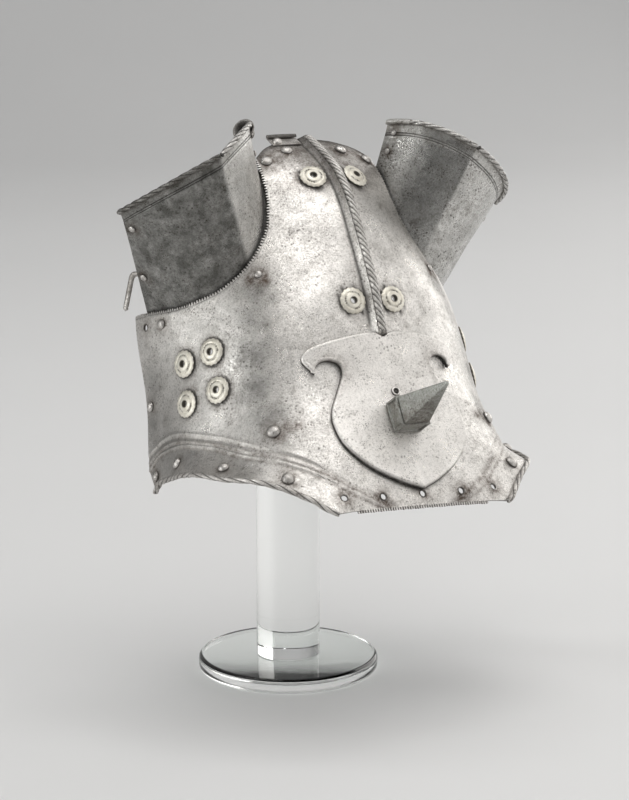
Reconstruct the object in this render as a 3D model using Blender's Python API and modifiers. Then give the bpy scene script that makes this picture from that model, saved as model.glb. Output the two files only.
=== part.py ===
"""Demi shaffron on a display stand: the upper half of a horse's head defence, in steel.

Metres, +Z up. The origin is the middle of the underside of the stand's disc, and the face
looks along -Y. The shaffron has a frame of its own, leaned a little on its post.
"""

import math

import bmesh
import bpy
from mathutils import Matrix, Vector

# Stand
POST_RADIUS = 0.025
DISC_RADIUS = 0.071
DISC_THICKNESS = 0.012
DISC_EDGE_ROUND = 0.003
POST_SIDES = 28
DISC_SIDES = 40
CONTACT_GAP = 0.0003
POST_TOP_GAP = 0.0003
POST_TOP_MARGIN = 0.0012

# How the shaffron hangs on the post
SHAFFRON_LEAN = math.radians(4.45)
SHAFFRON_SHIFT = -0.0027
NOSE_REACH = 0.1809
NOSE_HEIGHT = 0.1767
FACE_TILT = math.radians(35.0)

# Main plate
FACE_LENGTH = 0.317
HALF_WIDTH = 0.1325
CHEEK_DEPTH = 0.181
CHEEK_LEAN = math.radians(14.5)
PLATE_THICKNESS = 0.0015
KEEL_HALF_WIDTH = 0.0062
KEEL_HEIGHT = 0.0080
FLANGE_WIDTH = 0.0235
FLARE_ANGLE = math.radians(38.0)
ROLL_RADIUS = 0.0012
ROLL_STEP = math.radians(75.0)
ROLL_STEPS = 3

# Ear guards
GUARD_THICKNESS = 0.0013
GUARD_HEM = 0.0130
GUARD_HEM_GAP = 0.0012
GUARD_EDGE_GAP = 0.0021
GUARD_HEIGHT = 0.085
GUARD_CURL_RADIUS = 0.0050

# Escutcheon and spike
SHIELD_HALF_WIDTH = 0.0655
SHIELD_HEIGHT = 0.128
SHIELD_FOOT = 0.011
SHIELD_THICKNESS = 0.0027
SHIELD_GAP = 0.0005
SHIELD_CREASE = 0.0020
SPIKE_WIDTH = 0.024
SPIKE_SOCKET_DEPTH = 0.0215
SPIKE_SOCKET_RECESS = 0.0016
SPIKE_LENGTH = 0.0515
SPIKE_HEIGHT_ON_FACE = 0.069
SPIKE_TIP_WIDTH = 0.0020

# Rivets, rosettes and holes
RIVET_RADIUS = 0.0047
RIVET_HEIGHT = 0.0030
SMALL_RIVET_RADIUS = 0.0028
SMALL_RIVET_HEIGHT = 0.0019
LEAF_RIVET_RADIUS = 0.0034
RIVET_SHOULDER = math.radians(52.0)
SHANK_RADIUS = 0.0016
SHANK_CLEARANCE = 0.0004
FLANGE_RIVET_LIFT = 0.0005
RIVET_SIDES = 8
HOLE_SIDES = 6
ROSETTE_RADIUS = 0.0105
ROSETTE_HEIGHT = 0.0033
ROSETTE_HOLE_RADIUS = 0.0026
ROSETTE_SIDES = 10
EDGE_HOLE_RADIUS = 0.0024
PIN_HOLE_RADIUS = 0.0024
CUTTER_REACH = 0.008

# Hinge leaf and strap end
LEAF_WIDTH = 0.028
LEAF_DEPTH = 0.0085
LEAF_OVERHANG = 0.0035
LEAF_THICKNESS = 0.0011
LEAF_KEEL_GAP = 0.0010
LEAF_COLUMNS = (0.0, 0.35, 0.70, 1.0)
LEAF_ROWS = (1.0, 0.6, 0.1)
KNUCKLE_RADIUS = 0.0016
# How far the shield's sheet reaches past its outline before the outline cuts it.
SHIELD_SHEET_SPAN = 1.06
SHIELD_SHEET_TOP = 1.02
SHIELD_SHEET_DROP = 1.04
SHIELD_CUT_DEPTH = 0.04
SPIKE_ROOT_SHARE = 0.04
# The socket's steps: shares of the recess inward and of the depth outward.
SOCKET_STEPS = ((0.0, 0.0), (0.0, 0.22), (1.0, 0.30), (1.0, 0.80), (0.0, 0.88), (0.0, 1.0))
TAB_LENGTH = 0.036
TAB_WIDTH = 0.0055
TAB_THICKNESS = 0.0022
TAB_GAP = 0.0006
TAB_BEND_STEPS = 3
TAB_BEND_SHARE = 0.16
# The strap end's route: shares of its length rearward and up along the guard's wall, and
# then how it hangs.
TAB_ROUTE = ((-0.08, 0.0), (0.26, -0.06), (0.39, -0.08))
TAB_HANG = Vector((0.07, 0.10, -0.83))

# Middle line of the face: share of the face length up from the nose, height out of the face
# plane as a share of the face length.
MIDLINE = (
    (0.00, 0.000), (0.03, 0.005), (0.11, -0.004), (0.30, -0.013), (0.45, 0.002),
    (0.55, 0.015), (0.70, 0.016), (0.79, 0.011), (0.855, -0.006), (0.895, -0.025),
    (0.946, -0.058), (1.00, -0.099),
)

# Cross sections: share up the face, half width as a share of HALF_WIDTH, squareness.
SECTIONS = (
    (0.00, 0.958, 4.10), (0.167, 1.000, 3.30), (0.312, 1.000, 2.60), (0.47, 0.966, 2.45),
    (0.666, 0.974, 1.85), (0.817, 0.868, 1.80), (1.00, 0.740, 2.50),
)

# Columns of the main plate, from beside the keel round to the rear edge of the cheek.
# Top edge: sweep angle in degrees, share up the face. Root of the flange: the same.
# Flange: its width as a share of FLANGE_WIDTH, its flare as a share of FLARE_ANGLE.
PLATE_COLUMNS = (
    (13.0, 0.992, 12.0, 0.066, 0.81, 0.00),
    (22.0, 0.970, 20.0, 0.066, 0.81, 0.00),
    (27.9, 0.943, 28.0, 0.055, 0.85, 0.05),
    (28.6, 0.877, 31.8, 0.100, 0.96, 0.21),
    (29.7, 0.795, 36.3, 0.132, 0.96, 0.47),
    (32.0, 0.729, 42.6, 0.170, 1.04, 0.87),
    (38.6, 0.666, 49.8, 0.208, 1.12, 1.00),
    (49.0, 0.625, 56.4, 0.249, 1.15, 1.03),
    (59.0, 0.618, 63.1, 0.281, 1.12, 0.84),
    (68.0, 0.625, 70.0, 0.306, 1.08, 0.53),
    (77.0, 0.643, 78.0, 0.320, 1.00, 0.32),
    (84.0, 0.659, 84.0, 0.322, 0.92, 0.21),
    (90.0, 0.669, 89.5, 0.306, 0.85, 0.13),
)
CORNER_COLUMN = 2
GUARD_FIRST_COLUMN = 2.5
GUARD_RIDGE_COLUMN = 6.0
GUARD_LAST_COLUMN = 11.0
COLUMN_SPLIT = 2

# Rows of the plate, from the top edge (0) to the root of the flange (1).
PLATE_ROWS = (0.0, 0.05, 0.12, 0.21, 0.32, 0.45, 0.572, 0.594, 0.68, 0.77, 0.88, 1.0)
KEEL_END_ROWS = (0.572, 0.594)
KEEL_SECTION = ((0.0, 1.0), (0.32, 0.86), (0.68, 0.30), (1.0, 0.0))
FLANGE_STEPS = ((0.22, 0.35), (0.25, 0.80), (0.53, 1.0))

# Rim of an ear guard: x, y and z from the foot of its ridge, as shares of GUARD_HEIGHT.
GUARD_RIM = {
    "rear_inner": (-0.185, 0.487, 1.175),
    "inner_swell": (0.042, 0.102, 1.257),
    "ridge": (0.390, -0.130, 1.030),
    "outer_swell": (1.000, 0.010, 0.670),
    "rear_outer": (1.055, 0.512, 0.410),
}
GUARD_ROWS = 4
GUARD_CREASE_ANGLE = math.radians(24.0)

# Half of the shield's outline: share of its half width, share of its height up from its
# point. The corner points are sharp.
SHIELD_OUTLINE = (
    ((0.0, 0.970), (0.18, 1.0), (0.69, 0.970), (0.93, 0.940), (1.0, 0.880), (0.893, 0.785)),
    ((0.893, 0.785), (0.85, 0.838), (0.745, 0.855), (0.62, 0.83), (0.59, 0.77),
     (0.70, 0.66), (0.83, 0.54), (0.855, 0.43), (0.79, 0.30), (0.56, 0.155), (0.26, 0.055),
     (0.0, 0.0)),
)
SHIELD_CURVE_SPLIT = 2
SHIELD_GRID = 12

# Places on the plate: sweep angle in degrees, share up the face.
ROSETTES = {
    "top": (9.7, 0.855), "mid": (7.9, 0.519), "cheek_front_upper": (55.9, 0.483),
    "cheek_front_lower": (54.8, 0.388), "cheek_rear_upper": (66.8, 0.489),
    "cheek_rear_lower": (66.9, 0.394),
}
PLATE_RIVETS = {
    "poll_inner": (13.5, 0.953), "poll_outer": (24.8, 0.925), "guard_front": (36.6, 0.632),
    "cheek_top": (75.1, 0.612), "brow": (40.0, 0.238), "rear_edge": (86.9, 0.451),
}
# Places on the flange: column number, share of the way out.
FLANGE_RIVETS = {"flange_1": (4.17, 0.50), "flange_2": (6.32, 0.53), "flange_3": (9.2, 0.50),
                 "flange_4": (11.6, 0.50)}
# Places on an ear guard: share across from the inner rear edge, share up.
GUARD_RIVETS = {"guard_inner_low": (0.05, 0.45), "guard_inner_high": (0.05, 0.80),
                "guard_outer_low": (0.955, 0.34), "guard_outer_high": (0.955, 0.80)}
SMALL_RIVETS = ("guard_front", *GUARD_RIVETS)
EDGE_HOLES = ((0.0, 0.027), (15.0, 0.027), (27.6, 0.034))
CHEEK_HOLE = (83.6, 0.629)
PIN_HOLE_ABOVE_SPIKE = 0.0215

SIDES = {"left": -1.0, "right": 1.0}


def empty_the_scene():
    for item in list(bpy.data.objects):
        bpy.data.objects.remove(item, do_unlink=True)


def make_collection(name):
    collection = bpy.data.collections.new(name)
    bpy.context.scene.collection.children.link(collection)
    return collection


def make_material(name, colour, roughness, metallic, transmission=0.0):
    material = bpy.data.materials.new(name)
    material.use_nodes = True
    shader = material.node_tree.nodes["Principled BSDF"]
    shader.inputs["Base Color"].default_value = (*colour, 1.0)
    shader.inputs["Roughness"].default_value = roughness
    shader.inputs["Metallic"].default_value = metallic
    shader.inputs["Transmission Weight"].default_value = transmission
    return material


def smooth_value(rows, column, at):
    """Reads one column of a table as a smooth curve over the table's first column."""
    at = min(max(at, rows[0][0]), rows[-1][0])
    index = max(i for i in range(len(rows) - 1) if rows[i][0] <= at)
    left, right = rows[index], rows[index + 1]
    before, after = rows[max(index - 1, 0)], rows[min(index + 2, len(rows) - 1)]
    span = right[0] - left[0]
    start = (right[column] - before[column]) / (right[0] - before[0]) * span
    end = (after[column] - left[column]) / (after[0] - left[0]) * span
    t = (at - left[0]) / span
    return ((2 * t**3 - 3 * t**2 + 1) * left[column] + (t**3 - 2 * t**2 + t) * start
            + (3 * t**2 - 2 * t**3) * right[column] + (t**3 - t**2) * end)


def face_axes():
    """The face's frame: its lowest middle point, the way up it and the way out of it."""
    nose = Vector((0.0, -NOSE_REACH, NOSE_HEIGHT))
    up = Vector((0.0, math.sin(FACE_TILT), math.cos(FACE_TILT)))
    out = Vector((0.0, -math.cos(FACE_TILT), math.sin(FACE_TILT)))
    return nose, up, out


def face_point(sweep, share):
    """A point of the plate's outer face: sweep angle from the middle line, share up it."""
    nose, up, out = face_axes()
    height = share * FACE_LENGTH
    half_width = smooth_value(SECTIONS, 1, share) * HALF_WIDTH
    power = smooth_value(SECTIONS, 2, share)
    rear = math.tan(CHEEK_LEAN) * height - CHEEK_DEPTH
    depth = smooth_value(MIDLINE, 1, share) * FACE_LENGTH - rear
    side, front = math.sin(sweep), math.cos(sweep)
    reach = (abs(side)**power + abs(front)**power)**(-1.0 / power)
    return (nose + Vector((half_width * reach * side, 0, 0)) + up * height
            + out * (rear + depth * reach * front))


def face_normal(sweep, share):
    step = 0.002
    across = face_point(sweep + step, share) - face_point(sweep - step, share)
    along = face_point(sweep, share + step) - face_point(sweep, share - step)
    return across.cross(along).normalized()


def face_place(sweep_degrees, share, side=1.0):
    """Place and outward direction on the plate, on the side given."""
    sweep = math.radians(sweep_degrees)
    place, normal = face_point(sweep, share), face_normal(sweep, share)
    mirror = Vector((side, 1.0, 1.0))
    return place * mirror, normal * mirror


def column_values(position):
    """The numbers of a plate column, also between the table's columns."""
    corner = PLATE_COLUMNS[CORNER_COLUMN]
    if position <= CORNER_COLUMN:
        rows = PLATE_COLUMNS[:CORNER_COLUMN + 1]
        offset = 0
    else:
        rows = PLATE_COLUMNS[CORNER_COLUMN:]
        offset = CORNER_COLUMN
    table = [(index + offset, *row) for index, row in enumerate(rows)]
    if position == CORNER_COLUMN:
        return corner
    return tuple(smooth_value(table, value, position) for value in range(1, 7))


def column_chart_point(position, row):
    """Sweep angle and share up the face, a share of the way down a plate column."""
    top_sweep, top_share, root_sweep, root_share = column_values(position)[:4]
    sweep = top_sweep + (root_sweep - top_sweep) * row
    share = top_share + (root_share - top_share) * row
    return math.radians(sweep), share


def keel_height(offset_share, row):
    if row >= KEEL_END_ROWS[1]:
        return 0.0
    fade = min(1.0, (KEEL_END_ROWS[1] - row) / (KEEL_END_ROWS[1] - KEEL_END_ROWS[0]))
    return KEEL_HEIGHT * smooth_value(KEEL_SECTION, 1, offset_share) * fade


def roll_away(points, heading, turn_to, radius, steps=ROLL_STEPS, step_angle=ROLL_STEP):
    """Continues a row of points round an open roll that turns from heading to turn_to."""
    chord = 2.0 * radius * math.sin(step_angle / 2.0)
    angle = -step_angle / 2.0
    for _ in range(steps):
        angle += step_angle
        points.append(points[-1] + chord * (heading * math.cos(angle) + turn_to * math.sin(angle)))
    return points


def flange_frame(position):
    """Root point of the flange, the way down the plate there, and the way out of it."""
    step = 0.05
    first, last = 0.0, len(PLATE_COLUMNS) - 1.0
    before = face_point(*column_chart_point(max(position - step, first), 1.0))
    after = face_point(*column_chart_point(min(position + step, last), 1.0))
    sweep, share = column_chart_point(position, 1.0)
    normal = face_normal(sweep, share)
    down = (after - before).normalized().cross(normal).normalized()
    return face_point(sweep, share), down, normal


def flange_points(position):
    point, down, normal = flange_frame(position)
    width, flare = column_values(position)[4:6]
    points = []
    heading = down
    for length, turned in FLANGE_STEPS:
        angle = flare * turned * FLARE_ANGLE
        heading = down * math.cos(angle) + normal * math.sin(angle)
        point = point + heading * (length * width * FLANGE_WIDTH)
        points.append(point)
    turn_to = normal * math.cos(flare * FLARE_ANGLE) - down * math.sin(flare * FLARE_ANGLE)
    return points, heading, turn_to


def plate_column(position):
    points = [face_point(*column_chart_point(position, row)) for row in PLATE_ROWS]
    flange, heading, turn_to = flange_points(position)
    points += flange
    if position >= CORNER_COLUMN:
        roll_away(points, heading, turn_to, ROLL_RADIUS)
    return points


def keel_column(offset_share):
    """A column of the plate that follows the keel, at a share of the keel's half width."""
    top_share, root_share = 1.0, PLATE_COLUMNS[0][3]
    points = []
    flange_end = 0.0
    shares = [top_share + (root_share - top_share) * row for row in PLATE_ROWS]
    walked = 0.0
    for length, _ in FLANGE_STEPS:
        walked += length
        shares.append(root_share + (flange_end - root_share) * walked)
    for index, share in enumerate(shares):
        half_width = smooth_value(SECTIONS, 1, share) * HALF_WIDTH
        sweep = math.atan(offset_share * KEEL_HALF_WIDTH / half_width)
        row = PLATE_ROWS[index] if index < len(PLATE_ROWS) else 1.0
        lift = keel_height(offset_share, row)
        point = face_point(sweep, share) + face_axes()[2] * lift
        if offset_share == 0.0:
            point.x = 0.0
        points.append(point)
    return points


def sheet_mesh(name, columns, flip=False):
    """An open sheet through columns of points. A longer column's last points fold alone."""
    mesh_data = bmesh.new()
    grid = [[mesh_data.verts.new(point) for point in column] for column in columns]
    for left, right in zip(grid, grid[1:]):
        for row in range(min(len(left), len(right)) - 1):
            corners = [left[row], left[row + 1], right[row + 1], right[row]]
            mesh_data.faces.new(corners[::-1] if flip else corners)
    mesh = bpy.data.meshes.new(name)
    mesh_data.to_mesh(mesh)
    mesh_data.free()
    mesh.shade_smooth()
    return mesh


def add_object(name, data, collection, material=None, parent=None):
    item = bpy.data.objects.new(name, data)
    collection.objects.link(item)
    item.parent = parent
    if material:
        data.materials.append(material)
    return item


def add_solidify(item, thickness):
    modifier = item.modifiers.new("thickness", "SOLIDIFY")
    modifier.thickness = thickness
    modifier.offset = -1.0
    modifier.use_even_offset = True
    return modifier


def add_boolean(item, cutter, operation="DIFFERENCE"):
    modifier = item.modifiers.new("cut", "BOOLEAN")
    modifier.operation = operation
    modifier.solver = "EXACT"
    modifier.object = cutter
    return modifier


def add_mirror(item):
    modifier = item.modifiers.new("mirror", "MIRROR")
    modifier.use_axis = (True, False, False)
    modifier.use_clip = True
    modifier.merge_threshold = 0.00001
    return modifier


def lathe_mesh(name, profile, sides):
    """A turned solid. The profile runs from the top to the bottom, with its ends on the axis
    or, for a ring, back at its own start."""
    mesh_data = bmesh.new()
    rings = []
    for radius, height in profile:
        if radius == 0.0:
            rings.append([mesh_data.verts.new((0, 0, height))])
            continue
        rings.append([mesh_data.verts.new((radius * math.cos(turn * math.tau / sides),
                                           radius * math.sin(turn * math.tau / sides), height))
                      for turn in range(sides)])
    closed = profile[0][0] > 0.0
    pairs = list(zip(rings, rings[1:])) + ([(rings[-1], rings[0])] if closed else [])
    for upper, lower in pairs:
        for turn in range(sides):
            following = (turn + 1) % sides
            if len(upper) == 1:
                mesh_data.faces.new((upper[0], lower[turn], lower[following]))
            elif len(lower) == 1:
                mesh_data.faces.new((upper[turn], lower[0], upper[following]))
            else:
                mesh_data.faces.new((upper[turn], lower[turn], lower[following],
                                     upper[following]))
    mesh = bpy.data.meshes.new(name)
    mesh_data.to_mesh(mesh)
    mesh_data.free()
    mesh.shade_smooth()
    mesh.set_sharp_from_angle(angle=math.radians(50.0))
    return mesh


def placed(item, place, normal):
    """Stands an object's z axis on a surface place."""
    item.matrix_basis = (Matrix.Translation(place)
                         @ normal.to_track_quat("Z", "Y").to_matrix().to_4x4())
    return item


def nearest_chart_point(target, sweep, share):
    """Sweep and share of the plate's point nearest to a place, from a first guess."""
    step = 0.001
    for _ in range(8):
        point = face_point(sweep, share)
        across = (face_point(sweep + step, share) - point) / step
        along = (face_point(sweep, share + step) - point) / step
        error = target - point
        aa, ab, bb = across.dot(across), across.dot(along), along.dot(along)
        ea, eb = error.dot(across), error.dot(along)
        scale = aa * bb - ab * ab
        sweep += (ea * bb - eb * ab) / scale
        share += (eb * aa - ea * ab) / scale
    return sweep, share


def opening_inward(position):
    """At the ear opening's edge: the direction into the opening, along the plate."""
    step = 0.05
    before = face_point(*column_chart_point(position - step, 0.0))
    after = face_point(*column_chart_point(position + step, 0.0))
    sweep, share = column_chart_point(position, 0.0)
    edge, normal = face_point(sweep, share), face_normal(sweep, share)
    return edge, normal.cross((after - before).normalized()).normalized(), normal


def guard_rim_point(across):
    """The rim's line: a curve for each face of the guard, which meet at the ridge."""
    foot = face_point(*column_chart_point(GUARD_RIDGE_COLUMN, 0.0))
    rim = {key: foot + Vector(value) * GUARD_HEIGHT for key, value in GUARD_RIM.items()}
    if across <= 0.5:
        start, swell, end, t = rim["rear_inner"], rim["inner_swell"], rim["ridge"], across * 2
    else:
        start, swell, end, t = (rim["ridge"], rim["outer_swell"], rim["rear_outer"],
                                across * 2 - 1)
    return start * (1 - t)**2 + swell * 2 * t * (1 - t) + end * t**2


def guard_position(across):
    """The plate column under a share across the guard."""
    if across <= 0.5:
        return GUARD_FIRST_COLUMN + (GUARD_RIDGE_COLUMN - GUARD_FIRST_COLUMN) * across * 2
    return GUARD_RIDGE_COLUMN + (GUARD_LAST_COLUMN - GUARD_RIDGE_COLUMN) * (across * 2 - 1)


def guard_across(position):
    """The share across the guard over a plate column."""
    if position <= GUARD_RIDGE_COLUMN:
        return (position - GUARD_FIRST_COLUMN) / (GUARD_RIDGE_COLUMN - GUARD_FIRST_COLUMN) / 2
    return 0.5 + (position - GUARD_RIDGE_COLUMN) / (GUARD_LAST_COLUMN - GUARD_RIDGE_COLUMN) / 2


def guard_foot(across):
    edge, inward, normal = opening_inward(guard_position(across))
    sunk = PLATE_THICKNESS + GUARD_HEM_GAP
    return edge + inward * GUARD_EDGE_GAP - normal * sunk


def guard_hem_point(across):
    """The guard's turned hem, which lies under the plate for its rivets."""
    position = guard_position(across)
    edge, inward, _ = opening_inward(position)
    start = column_chart_point(position, 0.0)
    sweep, share = nearest_chart_point(edge - inward * GUARD_HEM, *start)
    return (face_point(sweep, share)
            - face_normal(sweep, share) * (PLATE_THICKNESS + GUARD_HEM_GAP))


def guard_wall_point(across, up):
    return guard_foot(across).lerp(guard_rim_point(across), up)


def guard_wall_normal(across, up):
    step = 0.01
    low, high = max(across - step, 0.0), min(across + step, 1.0)
    if low < 0.5 < high:
        low, high = (0.5, high) if across >= 0.5 else (low, 0.5)
    sideways = guard_wall_point(high, up) - guard_wall_point(low, up)
    upward = guard_wall_point(across, 1.0) - guard_wall_point(across, 0.0)
    return sideways.cross(upward).normalized(), upward.normalized()


def guard_roll_radius(across):
    """The roll opens into a wide curl at the inner rear end."""
    widening = max(0.0, 1.0 - across / 0.30)**2
    return ROLL_RADIUS + (GUARD_CURL_RADIUS - ROLL_RADIUS) * widening


def guard_column(across):
    points = [guard_hem_point(across)]
    points += [guard_wall_point(across, row / GUARD_ROWS) for row in range(GUARD_ROWS + 1)]
    normal, upward = guard_wall_normal(across, 1.0)
    return roll_away(points, upward, normal, guard_roll_radius(across))


def mirrored(columns, side):
    return [[Vector((point.x * side, point.y, point.z)) for point in column]
            for column in columns]


def cutter_drums(places, collection, parent, name):
    """One cutter made of drums: place, direction and radius of each."""
    mesh_data = bmesh.new()
    for place, normal, radius, reach in places:
        turn = Matrix.Translation(place) @ normal.to_track_quat("Z", "Y").to_matrix().to_4x4()
        bmesh.ops.create_cone(mesh_data, cap_ends=True, segments=HOLE_SIDES, radius1=radius,
                              radius2=radius, depth=2 * reach, matrix=turn)
    mesh = bpy.data.meshes.new(name)
    mesh_data.to_mesh(mesh)
    mesh_data.free()
    cutter = add_object(name, mesh, collection, parent=parent)
    cutter.hide_render = True
    cutter.display_type = "WIRE"
    return cutter


def spike_foot():
    """Where the spike's axis meets the face, and its way out."""
    share = SPIKE_HEIGHT_ON_FACE / FACE_LENGTH
    return face_point(0.0, share), face_axes()[2]


def flange_place(position, out):
    """A place on the flange, a share of the way out, with its outward direction."""
    root, _, _ = flange_frame(position)
    points, heading, turn_to = flange_points(position)
    path = [root] + points
    lengths = [(b - a).length for a, b in zip(path, path[1:])]
    left = out * sum(lengths)
    for start, end, length in zip(path, path[1:], lengths):
        if left <= length:
            along = (end - start).normalized()
            side = (heading.cross(turn_to)).normalized()
            return start + along * left, side.cross(along).normalized()
        left -= length
    return path[-1], turn_to


def rivet_places():
    """Every rivet on one side: name to place and outward direction."""
    places = {name: face_place(*spot) for name, spot in PLATE_RIVETS.items()}
    for name, (position, out) in FLANGE_RIVETS.items():
        place, normal = flange_place(position, out)
        places[name] = (place + normal * FLANGE_RIVET_LIFT, normal)
    for name, (across, up) in GUARD_RIVETS.items():
        places[name] = (guard_wall_point(across, up), guard_wall_normal(across, up)[0])
    return places


def hole_places():
    """Every hole through the plate, guards and shield, on both sides."""
    holes = []
    mirror_vectors = [Vector((side, 1.0, 1.0)) for side in SIDES.values()]
    for mirror in mirror_vectors:
        for place, normal in rivet_places().values():
            holes.append((place * mirror, normal * mirror, SHANK_RADIUS + SHANK_CLEARANCE,
                          CUTTER_REACH))
        for spot in ROSETTES.values():
            place, normal = face_place(*spot)
            holes.append((place * mirror, normal * mirror, ROSETTE_HOLE_RADIUS, CUTTER_REACH))
        for spot in EDGE_HOLES[1:]:
            place, normal = face_place(*spot)
            holes.append((place * mirror, normal * mirror, EDGE_HOLE_RADIUS, CUTTER_REACH))
        place, normal = face_place(*CHEEK_HOLE)
        holes.append((place * mirror, normal * mirror, EDGE_HOLE_RADIUS, CUTTER_REACH))
    place, normal = face_place(*EDGE_HOLES[0])
    holes.append((place, normal, EDGE_HOLE_RADIUS, CUTTER_REACH))
    foot, out = spike_foot()
    pin = face_point(0.0, (SPIKE_HEIGHT_ON_FACE + PIN_HOLE_ABOVE_SPIKE) / FACE_LENGTH)
    holes.append((pin, out, PIN_HOLE_RADIUS, CUTTER_REACH))
    place, normal = leaf_rivet_place()
    holes.append((place, normal, SHANK_RADIUS + SHANK_CLEARANCE, CUTTER_REACH))
    return holes


def build_plate(parts, steel, parent, cutter):
    columns = [keel_column(offset) for offset, _ in KEEL_SECTION]
    count = (len(PLATE_COLUMNS) - 1) * COLUMN_SPLIT
    columns += [plate_column(index / COLUMN_SPLIT) for index in range(count + 1)]
    plate = add_object("main_plate", sheet_mesh("main_plate", columns), parts, steel, parent)
    add_mirror(plate)
    add_solidify(plate, PLATE_THICKNESS)
    add_boolean(plate, cutter)
    return plate


def build_guards(parts, steel, parent, cutter):
    count = round((GUARD_LAST_COLUMN - GUARD_FIRST_COLUMN) * COLUMN_SPLIT)
    columns = [guard_column(guard_across(GUARD_FIRST_COLUMN + index / COLUMN_SPLIT))
               for index in range(count + 1)]
    for side_name, side in SIDES.items():
        name = f"ear_guard_{side_name}"
        mesh = sheet_mesh(name, mirrored(columns, side), flip=side > 0)
        mesh.set_sharp_from_angle(angle=GUARD_CREASE_ANGLE)
        guard = add_object(name, mesh, parts, steel, parent)
        add_solidify(guard, GUARD_THICKNESS)
        add_boolean(guard, cutter)


def outline_curve(stretch):
    table = [(index, *point) for index, point in enumerate(stretch)]
    count = (len(stretch) - 1) * SHIELD_CURVE_SPLIT
    return [tuple(smooth_value(table, value, index / SHIELD_CURVE_SPLIT) for value in (1, 2))
            for index in range(count + 1)]


def shield_outline():
    half = []
    for stretch in SHIELD_OUTLINE:
        half += outline_curve(stretch)[:-1]
    half.append((0.0, 0.0))
    whole = half + [(-x, y) for x, y in reversed(half[1:-1])]
    return [(x * SHIELD_HALF_WIDTH, y * SHIELD_HEIGHT) for x, y in whole]


def shield_surface_point(x, height):
    """A point of the shield's upper face over the plate."""
    share = (SHIELD_FOOT + height) / FACE_LENGTH
    half_width = smooth_value(SECTIONS, 1, share) * HALF_WIDTH
    sweep = math.atan(abs(x) / half_width)
    for _ in range(6):
        error = face_point(sweep, share).x - abs(x)
        sweep -= error / half_width * math.cos(sweep)**2
    ridge = SHIELD_CREASE * (1.0 - abs(x) / SHIELD_HALF_WIDTH)
    lift = SHIELD_GAP + SHIELD_THICKNESS + ridge
    point = face_point(sweep, share) + face_normal(sweep, share) * lift
    return Vector((math.copysign(point.x, x) if x else 0.0, point.y, point.z))


def build_shield(parts, cutters, steel, parent, cutter):
    _, up, out = face_axes()
    nose = face_axes()[0]
    columns = []
    for i in range(SHIELD_GRID + 1):
        x = SHIELD_SHEET_SPAN * SHIELD_HALF_WIDTH * (2.0 * i / SHIELD_GRID - 1.0)
        heights = [SHIELD_HEIGHT * (SHIELD_SHEET_TOP - SHIELD_SHEET_DROP * j / SHIELD_GRID)
                   for j in range(SHIELD_GRID + 1)]
        columns.append([shield_surface_point(x, height) for height in heights])
    shield = add_object("escutcheon", sheet_mesh("escutcheon", columns), parts, steel, parent)
    add_solidify(shield, SHIELD_THICKNESS)
    prism = bmesh.new()
    low = [prism.verts.new(nose + Vector((x, 0, 0)) + up * (SHIELD_FOOT + y) - out * SHIELD_CUT_DEPTH)
           for x, y in shield_outline()]
    face = prism.faces.new(low)
    top = bmesh.ops.extrude_face_region(prism, geom=[face])
    moved = [item for item in top["geom"] if isinstance(item, bmesh.types.BMVert)]
    bmesh.ops.translate(prism, verts=moved, vec=out * 2.0 * SHIELD_CUT_DEPTH)
    bmesh.ops.recalc_face_normals(prism, faces=prism.faces)
    mesh = bpy.data.meshes.new("shield_outline")
    prism.to_mesh(mesh)
    prism.free()
    outline = add_object("shield_outline", mesh, cutters, parent=parent)
    outline.hide_render = True
    outline.display_type = "WIRE"
    add_boolean(shield, outline, "INTERSECT")
    add_boolean(shield, cutter)


def tapered_block(name, sections):
    """A four-sided solid through square or oblong sections: half width, half height, z."""
    mesh_data = bmesh.new()
    rings = []
    for half_x, half_y, z in sections:
        rings.append([mesh_data.verts.new((sx * half_x, sy * half_y, z))
                      for sx, sy in ((-1, -1), (1, -1), (1, 1), (-1, 1))])
    mesh_data.faces.new(rings[0][::-1])
    mesh_data.faces.new(rings[-1])
    for lower, upper in zip(rings, rings[1:]):
        for i in range(4):
            j = (i + 1) % 4
            mesh_data.faces.new((lower[i], lower[j], upper[j], upper[i]))
    mesh = bpy.data.meshes.new(name)
    mesh_data.to_mesh(mesh)
    mesh_data.free()
    return mesh


def shield_top_under_spike(foot, out):
    """How far the shield's upper face stands out under the spike's socket."""
    half = SPIKE_WIDTH / 2.0
    middle = SPIKE_HEIGHT_ON_FACE - SHIELD_FOOT
    return max((shield_surface_point(x, middle + y) - foot).dot(out)
               for x in (-half, 0.0, half) for y in (-half, 0.0, half))


def build_spike(parts, steel, parent):
    foot, out = spike_foot()
    half = SPIKE_WIDTH / 2.0
    base = shield_top_under_spike(foot, out) + CONTACT_GAP
    lip = SPIKE_SOCKET_RECESS
    step = SPIKE_SOCKET_DEPTH - base
    socket_sections = [(half - lip * inset, half - lip * inset, step * share)
                       for inset, share in SOCKET_STEPS]
    frame = Matrix.Translation(foot) @ face_frame_turn()
    socket = add_object("spike_socket", tapered_block("spike_socket", socket_sections), parts,
                        steel, parent)
    socket.matrix_basis = frame @ Matrix.Translation((0, 0, base))
    root = half - lip / 2.0
    tip = SPIKE_TIP_WIDTH / 2.0
    spike_sections = ((root, root, 0.0), (root, root, SPIKE_LENGTH * SPIKE_ROOT_SHARE),
                      (tip, tip, SPIKE_LENGTH))
    spike = add_object("spike", tapered_block("spike", spike_sections), parts, steel, parent)
    spike.matrix_basis = frame @ Matrix.Translation((0, 0, SPIKE_SOCKET_DEPTH + CONTACT_GAP))


def face_frame_turn():
    """Turns z to the way out of the face and y to the way up it."""
    _, up, out = face_axes()
    side = up.cross(out)
    return Matrix((side, up, out)).transposed().to_4x4()


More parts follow.
